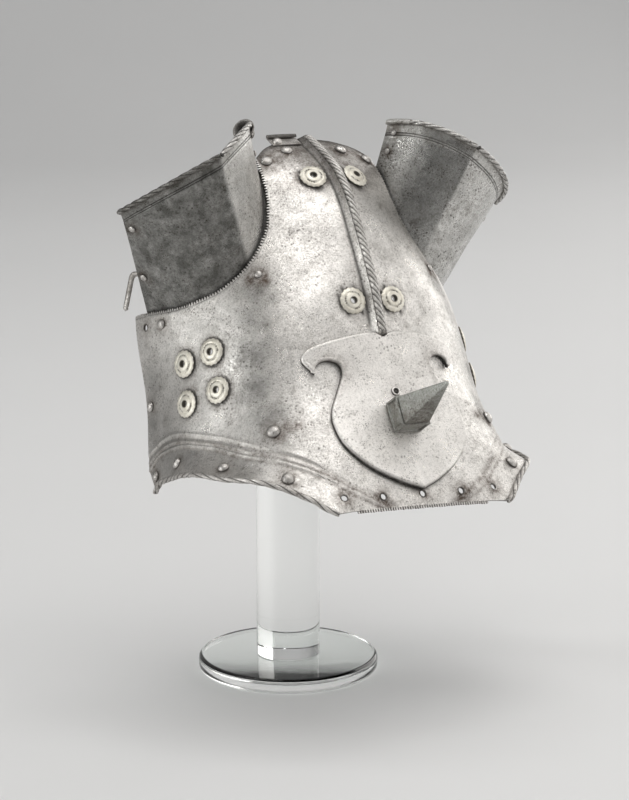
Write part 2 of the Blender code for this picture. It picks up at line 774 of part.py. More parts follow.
def rivet_profile(radius, height):
    """From the crown of the head down to the end of the shank."""
    shank_end = -PLATE_THICKNESS - GUARD_HEM_GAP - GUARD_THICKNESS
    return [(0.0, CONTACT_GAP + height),
            (radius * math.sin(RIVET_SHOULDER), CONTACT_GAP + height * math.cos(RIVET_SHOULDER)),
            (radius, CONTACT_GAP), (SHANK_RADIUS, CONTACT_GAP), (SHANK_RADIUS, shank_end),
            (0.0, shank_end)]


def build_rivets(parts, iron, parent):
    mesh = lathe_mesh("rivet", rivet_profile(RIVET_RADIUS, RIVET_HEIGHT), RIVET_SIDES)
    small_mesh = lathe_mesh("small_rivet", rivet_profile(SMALL_RIVET_RADIUS, SMALL_RIVET_HEIGHT),
                            RIVET_SIDES)
    mesh.materials.append(iron)
    small_mesh.materials.append(iron)
    for side_name, side in SIDES.items():
        mirror = Vector((side, 1.0, 1.0))
        for name, (place, normal) in rivet_places().items():
            shape = small_mesh if name in SMALL_RIVETS else mesh
            rivet = add_object(f"rivet_{name}_{side_name}", shape, parts, parent=parent)
            placed(rivet, place * mirror, normal * mirror)


def rosette_profile():
    """A domed washer, from the inner rim of its crown round to the foot of its hole."""
    return [(ROSETTE_HOLE_RADIUS, CONTACT_GAP + ROSETTE_HEIGHT),
            (ROSETTE_RADIUS * 0.66, CONTACT_GAP + ROSETTE_HEIGHT * 0.78),
            (ROSETTE_RADIUS, CONTACT_GAP + ROSETTE_HEIGHT * 0.22),
            (ROSETTE_RADIUS, CONTACT_GAP), (ROSETTE_HOLE_RADIUS, CONTACT_GAP)]


def build_rosettes(parts, brass, parent):
    mesh = lathe_mesh("rosette", rosette_profile(), ROSETTE_SIDES)
    mesh.materials.append(brass)
    for side_name, side in SIDES.items():
        for name, spot in ROSETTES.items():
            rosette = add_object(f"rosette_{name}_{side_name}", mesh, parts, parent=parent)
            placed(rosette, *face_place(*spot, side))


def leaf_chart(x_share, back):
    """Sweep and share for the hinge leaf: share across it, distance from the poll's edge."""
    x = KEEL_HALF_WIDTH + LEAF_KEEL_GAP + x_share * LEAF_WIDTH
    share = 1.0 - back / FACE_LENGTH
    half_width = smooth_value(SECTIONS, 1, share) * HALF_WIDTH
    return math.atan(x / half_width), share


def leaf_rivet_place():
    sweep, share = leaf_chart(LEAF_COLUMNS[2], LEAF_DEPTH * LEAF_ROWS[1])
    place, normal = face_point(sweep, share), face_normal(sweep, share)
    lifted = place + normal * (CONTACT_GAP + LEAF_THICKNESS)
    mirror = Vector((-1.0, 1.0, 1.0))
    return lifted * mirror, normal * mirror


def build_leaf(parts, steel, iron, parent, cutter):
    """The hinge leaf left on the poll's rear edge, with its empty knuckle."""
    columns = []
    for x_share in LEAF_COLUMNS:
        points = []
        for back in LEAF_ROWS:
            sweep, share = leaf_chart(x_share, back * LEAF_DEPTH)
            normal = face_normal(sweep, share)
            points.append(face_point(sweep, share) + normal * (CONTACT_GAP + LEAF_THICKNESS))
        heading = (points[-1] - points[-2]).normalized()
        points.append(points[-1] + heading * (LEAF_DEPTH * LEAF_ROWS[-1] + LEAF_OVERHANG))
        side = heading.cross(normal)
        turn_to = side.cross(heading).normalized()
        columns.append(roll_away(points, heading, turn_to, KNUCKLE_RADIUS))
    mesh = sheet_mesh("poll_hinge_leaf", mirrored(columns, -1.0))
    leaf = add_object("poll_hinge_leaf", mesh, parts, steel, parent)
    add_solidify(leaf, LEAF_THICKNESS)
    add_boolean(leaf, cutter)
    rivet_mesh = lathe_mesh("leaf_rivet", rivet_profile(LEAF_RIVET_RADIUS, RIVET_HEIGHT),
                            RIVET_SIDES)
    rivet = add_object("rivet_poll_hinge", rivet_mesh, parts, iron, parent)
    placed(rivet, *leaf_rivet_place())


def tab_middles():
    """The strap end's middle line, straight behind the guard's wall and then hanging down."""
    across, up = GUARD_RIVETS["guard_outer_low"]
    normal, upward = guard_wall_normal(across, up)
    inside = guard_wall_point(across, up) - normal * (GUARD_THICKNESS + TAB_GAP)
    rearward = upward.cross(normal).normalized()
    start, before, bend = (inside + (rearward * back + upward * rise) * TAB_LENGTH
                           for back, rise in TAB_ROUTE)
    end = bend + TAB_HANG * TAB_LENGTH
    after = bend.lerp(end, TAB_BEND_SHARE)
    middles = [start]
    for i in range(TAB_BEND_STEPS + 1):
        t = i / TAB_BEND_STEPS
        middles.append(before * (1 - t)**2 + bend * 2 * t * (1 - t) + after * t**2)
    middles.append(end)
    return middles, normal


def build_tab(parts, iron, parent, cutter):
    """The strap end behind the left ear guard's outer edge, held by the guard's low rivet."""
    middles, normal = tab_middles()
    columns = []
    for index, middle in enumerate(middles):
        before, after = middles[max(index - 1, 0)], middles[min(index + 1, len(middles) - 1)]
        half = normal.cross(after - before).normalized() * (TAB_WIDTH / 2)
        columns.append([middle - half, middle + half])
    mesh = sheet_mesh("strap_end", mirrored(columns, -1.0), flip=False)
    tab = add_object("strap_end", mesh, parts, iron, parent)
    add_solidify(tab, TAB_THICKNESS)
    add_boolean(tab, cutter)


def poll_underside(lean_matrix):
    """Points of the plate's inner face over the post, in the stand's frame."""
    points = []
    for i in range(-30, 31):
        for j in range(70, 101):
            sweep, share = math.radians(i * 1.2), j / 100.0
            inner = (face_point(abs(sweep), share)
                     - face_normal(abs(sweep), share) * PLATE_THICKNESS)
            inner.x = math.copysign(inner.x, sweep)
            points.append(lean_matrix @ inner)
    return points


def hem_underside(lean_matrix):
    """Points of the underside of both guards' hems, in the stand's frame."""
    points = []
    for i in range(25):
        across = i / 24
        foot, hem = guard_foot(across), guard_hem_point(across)
        _, _, normal = opening_inward(guard_position(across))
        for j in range(7):
            under = foot.lerp(hem, j / 6) - normal * GUARD_THICKNESS
            points += [lean_matrix @ (under * Vector((side, 1.0, 1.0)))
                       for side in SIDES.values()]
    return points


def post_top(lean_matrix):
    """The height at which the post meets the inside of the poll."""
    over_post = [point.z for point in poll_underside(lean_matrix) + hem_underside(lean_matrix)
                 if point.xy.length < POST_RADIUS + POST_TOP_MARGIN]
    return min(over_post) - POST_TOP_GAP


def build_stand(parts, acrylic, lean_matrix):
    edge = DISC_EDGE_ROUND
    profile = [(0.0, DISC_THICKNESS), (DISC_RADIUS - edge, DISC_THICKNESS),
               (DISC_RADIUS, DISC_THICKNESS - edge), (DISC_RADIUS, edge),
               (DISC_RADIUS - edge, 0.0), (0.0, 0.0)]
    add_object("stand_disc", lathe_mesh("stand_disc", profile, DISC_SIDES), parts, acrylic)
    foot, top = DISC_THICKNESS + CONTACT_GAP, post_top(lean_matrix)
    profile = [(0.0, top), (POST_RADIUS, top), (POST_RADIUS, foot), (0.0, foot)]
    add_object("stand_post", lathe_mesh("stand_post", profile, POST_SIDES), parts, acrylic)


def main():
    empty_the_scene()
    parts = make_collection("demi_shaffron")
    cutters = make_collection("cutters")
    steel = make_material("plate_steel", (0.46, 0.45, 0.44), 0.36, 1.0)
    iron = make_material("rivet_steel", (0.50, 0.48, 0.46), 0.32, 1.0)
    brass = make_material("rosette_metal", (0.78, 0.73, 0.60), 0.35, 0.9)
    acrylic = make_material("clear_acrylic", (0.93, 0.95, 0.95), 0.04, 0.0, 1.0)

    lean = bpy.data.objects.new("shaffron_lean", None)
    parts.objects.link(lean)
    lean.rotation_euler = (0.0, SHAFFRON_LEAN, 0.0)
    lean.location = (SHAFFRON_SHIFT, 0.0, 0.0)
    lean_matrix = Matrix.Translation(lean.location) @ lean.rotation_euler.to_matrix().to_4x4()

    cutter = cutter_drums(hole_places(), cutters, lean, "hole_drums")
    build_plate(parts, steel, lean, cutter)
    build_guards(parts, steel, lean, cutter)
    build_shield(parts, cutters, steel, lean, cutter)
    build_spike(parts, steel, lean)
    build_rosettes(parts, brass, lean)
    build_rivets(parts, iron, lean)
    build_leaf(parts, steel, iron, lean, cutter)
    build_tab(parts, iron, lean, cutter)
    build_stand(parts, acrylic, lean_matrix)


main()
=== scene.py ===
"""Demi shaffron on a clear display stand: the finished look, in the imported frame."""

import math
import random

import bmesh
import bpy
import numpy as np
from mathutils import Matrix, Vector, geometry, noise


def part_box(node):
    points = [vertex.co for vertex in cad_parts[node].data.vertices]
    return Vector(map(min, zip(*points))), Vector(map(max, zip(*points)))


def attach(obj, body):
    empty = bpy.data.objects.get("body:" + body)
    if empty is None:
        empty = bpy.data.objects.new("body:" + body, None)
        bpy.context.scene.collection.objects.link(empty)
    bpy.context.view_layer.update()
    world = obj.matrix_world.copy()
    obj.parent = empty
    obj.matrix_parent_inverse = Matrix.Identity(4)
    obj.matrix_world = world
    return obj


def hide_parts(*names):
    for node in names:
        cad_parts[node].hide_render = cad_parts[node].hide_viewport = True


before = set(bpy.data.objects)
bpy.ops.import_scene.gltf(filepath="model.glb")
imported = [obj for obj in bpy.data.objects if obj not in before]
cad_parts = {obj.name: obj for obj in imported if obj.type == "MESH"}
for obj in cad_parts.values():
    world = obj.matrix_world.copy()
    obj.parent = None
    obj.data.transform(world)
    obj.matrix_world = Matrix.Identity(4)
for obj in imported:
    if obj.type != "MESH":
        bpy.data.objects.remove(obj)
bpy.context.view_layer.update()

# Stand
POST_RADIUS = 0.025
DISC_RADIUS = 0.071
DISC_THICKNESS = 0.012
DISC_ROUNDING = 0.0040
POST_BEVEL = 0.0006
# A turned profile starts this far from its axis, so that its first ring has an area.
AXIS_RADIUS = 0.00001

# Shaffron, in its own frame
LEAN = Matrix.Translation((-0.0027, 0.0, 0.0)) @ Matrix.Rotation(math.radians(4.45), 4, "Y")
NOSE = Vector((0.0, -0.1809, 0.1767))
FACE_TILT = math.radians(35.0)
FACE_LENGTH = 0.317
HALF_WIDTH = 0.1325
CHEEK_DEPTH = 0.181
CHEEK_LEAN = math.radians(14.5)
PLATE_THICKNESS = 0.0015
# The plate's grid: columns on the keel, beside it and between the chart's columns, and rows
# above the flange's root, close to it and on the flange.
KEEL_COLUMNS = 12
BESIDE_COLUMNS = 9
CHART_STEPS = 12
UPPER_ROWS = 62
NEAR_ROOT_STEP = 0.0005
NEAR_ROOT_ROWS = 25
FLANGE_ROWS = 20
KEEL_HALF_WIDTH = 0.0062
KEEL_HEIGHT = 0.0080
FLANGE_WIDTH = 0.0235
FLARE_ANGLE = math.radians(38.0)
FLANGE_ROPE_RADIUS = 0.0023
FLANGE_ROPE_PITCH = 0.0135
FLANGE_ROPE_REAR_PITCH = 0.0085
FLANGE_ROPE_FLIP = 0.128
ROPE_STRANDS = 3
ROPE_STEP = 0.00042
ROPE_SIDES = 22
GUARD_THICKNESS = 0.0013
GUARD_HEM = 0.0130
GUARD_HEM_GAP = 0.0012
GUARD_EDGE_GAP = 0.0021
GUARD_HEIGHT = 0.085
GUARD_STEPS = 104
GUARD_INNER_GAP = 0.0026
GUARD_FLARE = 0.0010
# Distances below the rim of the wall's first rows, close together at the incised lines.
GUARD_NEAR_RIM = (0.0, 0.001, 0.0022, 0.0035, 0.005, 0.0065, 0.0075, 0.0080, 0.0084, 0.0088,
                  0.0092, 0.0096, 0.0099, 0.0103, 0.0107, 0.0111, 0.0116, 0.0126)
GUARD_ROPE_RADIUS = 0.0022
GUARD_ROPE_PITCH = 0.0090
GUARD_ROPE_START = {"left": 0.15, "right": 0.10}
SHIELD_HALF_WIDTH = 0.0655
SHIELD_HEIGHT = 0.128
SHIELD_FOOT = 0.011
SHIELD_THICKNESS = 0.0027
SHIELD_GAP = 0.0005
SHIELD_CREASE = 0.0027
SHIELD_OUTLINE_STEP = 0.0011
SHIELD_GRID_STEP = 0.0020
# The shield's rim from its foot: way in, share of the thickness, darkness, which is painted shade
# with dark patina on its side wall.
SHIELD_RIM = ((0.0, 0.0, 1.0), (0.0, 0.50, 0.9), (0.0002, 0.78, 0.35), (0.0007, 1.00, 0.05),
              (0.0014, 1.10, 0.0), (0.0032, 1.0, 0.0))
SPIKE_WIDTH = 0.024
SOCKET_TOP = 0.0215
SPIKE_LENGTH = 0.0515
SPIKE_HEIGHT_ON_FACE = 0.069
SPIKE_TIP_HALF = 0.0013
SPIKE_ROOT_INSET = 0.0009
SOCKET_FOOT = 0.0062
ROSETTE_RADIUS = 0.0105
ROSETTE_HOLE = 0.0026
ROSETTE_SIDES = 96
ROSETTE_RING = 0.0066
SHANK_RADIUS = 0.0016
SHANK_END = -0.0038
EDGE_HOLE_RADIUS = 0.0024
CONTACT_GAP = 0.0003
LEAF_WIDTH = 0.025
LEAF_DEPTH = 0.0085
LEAF_KEEL_GAP = 0.0010
LEAF_LIFT = 0.0011
LEAF_OVERHANG = 0.0016
LEAF_RIVET = (0.0196, 0.6)
KNUCKLE_RADIUS = 0.0011
STRAP_LENGTH = 0.036
STRAP_WIDTH = 0.0046
STRAP_THICKNESS = 0.0032
STRAP_ROUTE = ((-0.08, 0.0), (0.26, -0.06), (0.39, -0.08))
STRAP_HANG = Vector((0.07, 0.10, -0.83))
STRAP_BEND_SHARE = 0.16
STRAP_GAP = 0.0006
STRAP_STEP = 0.0005

MIDLINE = (
    (0.00, 0.000), (0.03, 0.005), (0.11, -0.004), (0.30, -0.013), (0.45, 0.002),
    (0.55, 0.015), (0.70, 0.016), (0.79, 0.011), (0.855, -0.006), (0.895, -0.025),
    (0.946, -0.058), (1.00, -0.099),
)
SECTIONS = (
    (0.00, 0.958, 4.10), (0.167, 1.000, 3.30), (0.312, 1.000, 2.60), (0.47, 0.966, 2.45),
    (0.666, 0.974, 1.85), (0.817, 0.868, 1.80), (1.00, 0.740, 2.50),
)
PLATE_COLUMNS = (
    (13.0, 0.992, 12.0, 0.066, 0.81, 0.00),
    (22.0, 0.970, 20.0, 0.066, 0.81, 0.00),
    (27.9, 0.943, 28.0, 0.055, 0.85, 0.05),
    (28.6, 0.877, 31.8, 0.100, 0.96, 0.21),
    (29.7, 0.795, 36.3, 0.132, 0.96, 0.47),
    (32.0, 0.729, 42.6, 0.170, 1.04, 0.87),
    (38.6, 0.666, 49.8, 0.208, 1.12, 1.00),
    (49.0, 0.625, 56.4, 0.249, 1.15, 1.03),
    (59.0, 0.618, 63.1, 0.281, 1.12, 0.84),
    (68.0, 0.625, 70.0, 0.306, 1.08, 0.53),
    (77.0, 0.643, 78.0, 0.320, 1.00, 0.32),
    (84.0, 0.659, 84.0, 0.322, 0.92, 0.21),
    (90.0, 0.669, 89.5, 0.306, 0.85, 0.13),
)
CORNER_COLUMN = 2
CORNER_TURN = 2.9
KEEL_END = (0.606, 0.616)
KEEL_LENGTH = 0.296
KEEL_STRIPS = 34
KEEL_ROWS = 700
STRAND_PITCH = 0.0052
STRAND_SLOPE = 2.6
STRAND_START = -0.52
STRAND_END = 0.96
KEEL_START = 0.004
GUARD_FIRST_COLUMN = 2.5
GUARD_RIDGE_COLUMN = 6.0
GUARD_LAST_COLUMN = 11.0
KEEL_SECTION = ((0.0, 1.0), (0.32, 0.86), (0.68, 0.30), (1.0, 0.0))
FLARE_CURVE = ((0.0, 0.11, 0.345, 0.735, 1.0), (0.0, 0.35, 0.80, 1.0, 1.0))

# Raised ridge and soft groove beside the flange: sweep in degrees, mm up the face.
RIDGE_LINE = ((14.5, 0.0), (18.0, 4.5), (21.5, 10.0), (25.3, 17.0), (30.2, 29.0), (36.3, 42.0),
              (42.6, 54.0), (49.8, 66.0), (56.4, 79.0), (63.1, 89.0), (70.0, 97.0),
              (76.8, 101.0), (83.5, 102.0), (90.0, 97.0))
GROOVE_LINE = ((11.0, 0.0), (15.5, 6.0), (20.5, 14.0), (24.8, 22.0), (29.6, 35.0),
               (36.8, 51.0), (45.7, 66.5), (56.0, 85.0), (69.5, 102.5), (78.8, 108.5),
               (90.0, 106.0))

GUARD_RIM = {
    "rear_inner": (-0.185, 0.487, 1.175),
    "inner_swell": (0.042, 0.102, 1.257),
    "ridge": (0.390, -0.130, 1.030),
    "outer_swell": (1.000, 0.010, 0.670),
    "rear_outer": (1.055, 0.512, 0.410),
}
INCISED = (0.0088, 0.0107)
LEFT_RIDGE_SHIFT = Vector((0.0052, 0.0012, -0.0031))
SCROLL_SHIFT = Vector((-0.0064, -0.0022, -0.0038))
SCROLL_WAY = Vector((-0.76, -0.39, 0.52))
SCROLL_SIDES = 48
SCROLL_SIZE = 1.13
# The scroll's turned section at size 1: radius and height, in metres.
SCROLL_PROFILE = (
    (AXIS_RADIUS, -0.0100), (0.0028, -0.0098), (0.0040, -0.0080), (0.0047, -0.0050),
    (0.0056, -0.0020), (0.0066, -0.0004), (0.0073, 0.0002), (0.0078, 0.0), (0.0079, -0.0006),
    (0.0076, -0.0012), (0.0068, -0.0018), (0.0060, -0.0034), (0.0052, -0.0065),
    (0.0046, -0.0092), (0.0034, -0.0110), (AXIS_RADIUS, -0.0112),
)
ROLL_RADIUS = 0.0024
ROLL_REACH = 0.13
SHIELD_OUTLINE = (
    ((0.0, 0.970), (0.18, 1.0), (0.69, 0.970), (0.93, 0.940), (1.0, 0.880), (0.893, 0.785)),
    ((0.893, 0.785), (0.85, 0.838), (0.745, 0.855), (0.62, 0.83), (0.59, 0.77),
     (0.70, 0.66), (0.83, 0.54), (0.855, 0.43), (0.79, 0.30), (0.56, 0.155), (0.26, 0.055),
     (0.0, 0.0)),
)
ROSETTES = {
    "top": (9.7, 0.855), "mid": (7.9, 0.519), "cheek_front_upper": (55.9, 0.483),
    "cheek_front_lower": (54.8, 0.388), "cheek_rear_upper": (66.8, 0.489),
    "cheek_rear_lower": (66.9, 0.394),
}
PLATE_RIVETS = {
    "poll_inner": (13.5, 0.953), "poll_outer": (24.8, 0.925), "guard_front": (36.6, 0.632),
    "cheek_top": (75.1, 0.612), "brow": (40.0, 0.238), "rear_edge": (86.9, 0.451),
}
FLANGE_RIVETS = {"flange_1": (4.17, 0.50), "flange_2": (6.32, 0.53), "flange_3": (9.2, 0.50),
                 "flange_4": (11.6, 0.50)}
GUARD_RIVETS = {"guard_inner_low": (0.05, 0.45), "guard_inner_high": (0.05, 0.80),
                "guard_outer_low": (0.955, 0.34), "guard_outer_high": (0.955, 0.80)}
# Saw teeth: where they run round an ear's cut-out, then their sizes.
OPENING_TEETH_SPAN = (2.12, 11.95)
TOOTH_PITCH = 0.0024
TOOTH_THICKNESS = 0.0014
TOOTH_ROOT = 0.0006
# Width at the root and at the tip, depth, and the least and most that is added to it.
OPENING_TOOTH = (0.0021, 0.0003, 0.0019, -0.0003, 0.0003)
FRONT_TOOTH = (0.0013, 0.0012, 0.0022, -0.0003, 0.0002)
FRONT_TEETH = 54
FRONT_TEETH_REACH = 0.0565
# A near-black rod behind the front teeth: painted shade that shows through their gaps.
SHADE_ROD_DROP = 0.0008
SHADE_ROD_BACK = 0.0019
SHADE_ROD_RADIUS = 0.0010
EDGE_HOLES = ((0.0, 0.027), (15.0, 0.027), (27.6, 0.034))
CHEEK_HOLE = (83.6, 0.629)
PIN_HOLE_ABOVE_SPIKE = 0.0215
SIDES = {"left": -1.0, "right": 1.0}
BRIGHT_WAY = (0.70, -0.30, 0.65)
SKY_RANGE = (0.13, 0.80)
EXPOSURE = -0.60
LIGHT_TARGET = (0.0, 0.0, 0.28)
# Soft lights: name, place, target, size, power, colour.
LIGHTS = (
    ("top_soft", (0.1, -0.5, 2.1), LIGHT_TARGET, (1.6, 1.2), 21.0, (1.0, 0.985, 0.96)),
    ("right_soft", (1.7, -1.9, 1.1), LIGHT_TARGET, (1.6, 1.8), 15.0, (1.0, 0.975, 0.945)),
    ("side_soft", (2.2, 0.6, 0.9), LIGHT_TARGET, (2.0, 2.0), 32.0, (1.0, 0.985, 0.96)),
    ("left_soft", (-2.2, 0.1, 0.7), LIGHT_TARGET, (1.2, 1.5), 33.0, (0.99, 1.0, 0.985)),
    ("wall_wash", (-0.2, 0.6, 2.6), (1.4, 2.6, 1.2), (2.4, 1.0), 40.0, (1.0, 1.0, 1.0)),
)
CAMERA_PLACE = (-1.3186, -2.2409, 0.881)
CAMERA_WAY = (0.498, 0.831, -0.247)
FLOOR_DROP = 0.0004
FLOOR_REACH = 6.0
WALL_START = 2.2
WALL_ROUNDING = 1.2
# Brown blots on the plate: sweep in degrees and share up the face.
BLOTS = ((35.5, 0.238), (33.0, 0.236), (38.5, 0.222), (37.5, 0.618), (40.0, 0.622), (34.8, 0.612))
# Darker patches on the plate, painted shade down the brows and clouds elsewhere: sweep in
# degrees, share up the face, radius and strength.
SHADE_AND_MOTTLE_PATCHES = ((37.0, 0.59, 0.016, 0.62), (41.0, 0.52, 0.017, 0.50), (43.0, 0.44, 0.019, 0.58),
          (43.0, 0.36, 0.019, 0.60), (41.0, 0.28, 0.020, 0.55), (37.0, 0.22, 0.018, 0.40),
          (84.0, 0.50, 0.016, 0.42), (86.0, 0.40, 0.016, 0.42), (62.0, 0.56, 0.012, 0.15),
          (60.0, 0.44, 0.040, 0.26), (78.0, 0.34, 0.030, 0.30), (52.0, 0.16, 0.028, 0.26),
          (12.0, 0.98, 0.018, 0.42), (3.0, 0.97, 0.018, 0.42), (24.0, 0.93, 0.012, 0.30),
          (9.0, 0.845, 0.017, 0.20), (30.0, 0.08, 0.018, 0.15))

RIVET_SIZES = {"guard_front": (0.0030, 0.0020), "poll_inner": (0.0046, 0.0030),
               "poll_outer": (0.0046, 0.0030), "cheek_top": (0.0041, 0.0028),
               "rear_edge": (0.0041, 0.0028), "brow": (0.0050, 0.0035),
               "flange_1": (0.0052, 0.0036), "flange_2": (0.0045, 0.0033),
               "flange_3": (0.0043, 0.0032), "flange_4": (0.0043, 0.0032),
               "guard_inner_low": (0.0024, 0.0014), "guard_inner_high": (0.0024, 0.0014),
               "guard_outer_low": (0.0028, 0.0016), "guard_outer_high": (0.0028, 0.0016)}


# The face's shape
def smooth_value(rows, column, at):
    at = min(max(at, rows[0][0]), rows[-1][0])
    index = max(i for i in range(len(rows) - 1) if rows[i][0] <= at)
    left, right = rows[index], rows[index + 1]
    before, after = rows[max(index - 1, 0)], rows[min(index + 2, len(rows) - 1)]
    span = right[0] - left[0]
    start = (right[column] - before[column]) / (right[0] - before[0]) * span
    end = (after[column] - left[column]) / (after[0] - left[0]) * span
    t = (at - left[0]) / span
    return ((2 * t**3 - 3 * t**2 + 1) * left[column] + (t**3 - 2 * t**2 + t) * start
            + (3 * t**2 - 2 * t**3) * right[column] + (t**3 - t**2) * end)


FACE_UP = Vector((0.0, math.sin(FACE_TILT), math.cos(FACE_TILT)))
FACE_OUT = Vector((0.0, -math.cos(FACE_TILT), math.sin(FACE_TILT)))


def half_width_at(share):
    return smooth_value(SECTIONS, 1, share) * HALF_WIDTH


def face_point(sweep, share):
    height = share * FACE_LENGTH
    half_width = half_width_at(share)
    power = smooth_value(SECTIONS, 2, share)
    rear = math.tan(CHEEK_LEAN) * height - CHEEK_DEPTH
    depth = smooth_value(MIDLINE, 1, share) * FACE_LENGTH - rear
    side, front = math.sin(sweep), math.cos(sweep)
    reach = (abs(side)**power + abs(front)**power)**(-1.0 / power)
    return (NOSE + Vector((half_width * reach * side, 0, 0)) + FACE_UP * height
            + FACE_OUT * (rear + depth * reach * front))


def face_normal(sweep, share):
    step = 0.002
    across = face_point(sweep + step, share) - face_point(sweep - step, share)
    along = face_point(sweep, share + step) - face_point(sweep, share - step)
    return across.cross(along).normalized()


def face_place(sweep_degrees, share, side=1.0):
    sweep = math.radians(sweep_degrees)
    place, normal = face_point(sweep, share), face_normal(sweep, share)
    return place * side_mirror(side), normal * side_mirror(side)


def column_values(position):
    if position <= CORNER_COLUMN:
        rows, offset = PLATE_COLUMNS[:CORNER_COLUMN + 1], 0
    else:
        rows, offset = PLATE_COLUMNS[CORNER_COLUMN:], CORNER_COLUMN
    if position == CORNER_COLUMN:
        return PLATE_COLUMNS[CORNER_COLUMN]
    table = [(index + offset, *row) for index, row in enumerate(rows)]
    return tuple(smooth_value(table, value, position) for value in range(1, 7))


def chart_point(position, row):
    top_sweep, top_share, root_sweep, root_share = column_values(position)[:4]
    return (math.radians(top_sweep + (root_sweep - top_sweep) * row),
            top_share + (root_share - top_share) * row)


def keel_chart(offset, row):
    share = 1.0 + (PLATE_COLUMNS[0][3] - 1.0) * row
    return math.atan(offset * KEEL_HALF_WIDTH / half_width_at(share)), share


def keel_fade(row):
    return min(1.0, max(0.0, (KEEL_END[1] - row) / (KEEL_END[1] - KEEL_END[0])))


def between_chart(blend, row):
    """Between the foot of the keel and the first plate column."""
    keel, first = keel_chart(1.0, row), chart_point(0.0, row)
    return tuple(a + (b - a) * blend for a, b in zip(keel, first))


def flange_frame(position):
    step = 0.05
    last = len(PLATE_COLUMNS) - 1.0
    before = face_point(*chart_point(max(position - step, 0.0), 1.0))
    after = face_point(*chart_point(min(position + step, last), 1.0))
    sweep, share = chart_point(position, 1.0)
    normal = face_normal(sweep, share)
    down = (after - before).normalized().cross(normal).normalized()
    return face_point(sweep, share), down, normal


def flange_curve(position, steps):
    """Points down the flange from its root, with the way out at its end."""
    point, down, normal = flange_frame(position)
    width, flare = column_values(position)[4:6]
    points = []
    for i in range(steps):
        walked = (i + 0.5) / steps
        angle = flare * FLARE_ANGLE * float(np.interp(walked, *FLARE_CURVE))
        heading = down * math.cos(angle) + normal * math.sin(angle)
        point = point + heading * (width * FLANGE_WIDTH / steps)
        points.append(point)
    side = heading.cross(normal).normalized()
    return points, heading, side.cross(heading).normalized()


def flange_place(position, out):
    points, _, _ = flange_curve(position, 24)
    index = min(int(out * 24), 22)
    along = (points[index + 1] - points[index - 1]).normalized()
    near = flange_curve(position + 0.05, 24)[0][index] - points[index]
    normal = along.cross(near).normalized()
    if normal.dot(flange_frame(position)[2]) < 0:
        normal = -normal
    return points[index], normal


# The guards' shape
def nearest_chart_point(target, sweep, share):
    step = 0.001
    for _ in range(8):
        point = face_point(sweep, share)
        across = (face_point(sweep + step, share) - point) / step
        along = (face_point(sweep, share + step) - point) / step
        error = target - point
        aa, ab, bb = across.dot(across), across.dot(along), along.dot(along)
        ea, eb = error.dot(across), error.dot(along)
        scale = aa * bb - ab * ab
        sweep += (ea * bb - eb * ab) / scale
        share += (eb * aa - ea * ab) / scale
    return sweep, share


def opening_inward(position):
    step = 0.05
    before = face_point(*chart_point(position - step, 0.0))
    after = face_point(*chart_point(position + step, 0.0))
    sweep, share = chart_point(position, 0.0)
    edge, normal = face_point(sweep, share), face_normal(sweep, share)
    return edge, normal.cross((after - before).normalized()).normalized(), normal


GUARD_RIDGE_FOOT = face_point(*chart_point(GUARD_RIDGE_COLUMN, 0.0))


def guard_rim_point(across, way=1.0):
    rim = {key: GUARD_RIDGE_FOOT + Vector(value) * GUARD_HEIGHT
           for key, value in GUARD_RIM.items()}
    if way < 0:
        rim["ridge"] += LEFT_RIDGE_SHIFT
    if across <= 0.5:
        start, swell, end, t = rim["rear_inner"], rim["inner_swell"], rim["ridge"], across * 2
    else:
        start, swell, end, t = (rim["ridge"], rim["outer_swell"], rim["rear_outer"],
                                across * 2 - 1)
    return start * (1 - t)**2 + swell * 2 * t * (1 - t) + end * t**2


def guard_position(across):
    if across <= 0.5:
        return GUARD_FIRST_COLUMN + (GUARD_RIDGE_COLUMN - GUARD_FIRST_COLUMN) * across * 2
    return GUARD_RIDGE_COLUMN + (GUARD_LAST_COLUMN - GUARD_RIDGE_COLUMN) * (across * 2 - 1)


def guard_foot(across):
    edge, inward, normal = opening_inward(guard_position(across))
    wider = GUARD_INNER_GAP * max(0.0, 1.0 - across / 0.62)
    return edge + inward * (GUARD_EDGE_GAP + wider) - normal * (PLATE_THICKNESS + GUARD_HEM_GAP)


def guard_hem_point(across):
    position = guard_position(across)
    edge, inward, _ = opening_inward(position)
    sweep, share = nearest_chart_point(edge - inward * GUARD_HEM, *chart_point(position, 0.0))
    return (face_point(sweep, share)
            - face_normal(sweep, share) * (PLATE_THICKNESS + GUARD_HEM_GAP))


def guard_wall_point(across, up, way=1.0):
    return guard_foot(across).lerp(guard_rim_point(across, way), up)


def guard_wall_normal(across, up, way=1.0):
    step = 0.01
    low, high = max(across - step, 0.0), min(across + step, 1.0)
    if low < 0.5 < high:
        low, high = (0.5, high) if across >= 0.5 else (low, 0.5)
    sideways = guard_wall_point(high, up, way) - guard_wall_point(low, up, way)
    upward = guard_wall_point(across, 1.0, way) - guard_wall_point(across, 0.0, way)
    return sideways.cross(upward).normalized(), upward.normalized()


# Meshes
def rough_shift(points, size, amount, seed):
    """A slow uneven shift for each point, like hammer work."""
    offset = Vector((seed, seed * 0.7, -seed))
    return np.array([noise.noise(Vector(p) / size + offset) for p in points]) * amount


def grid_normals(grid):
    rows = np.gradient(grid, axis=1)
    columns = np.gradient(grid, axis=0)
    normals = np.cross(rows, columns)
    return normals / np.maximum(np.linalg.norm(normals, axis=2, keepdims=True), 1e-12)


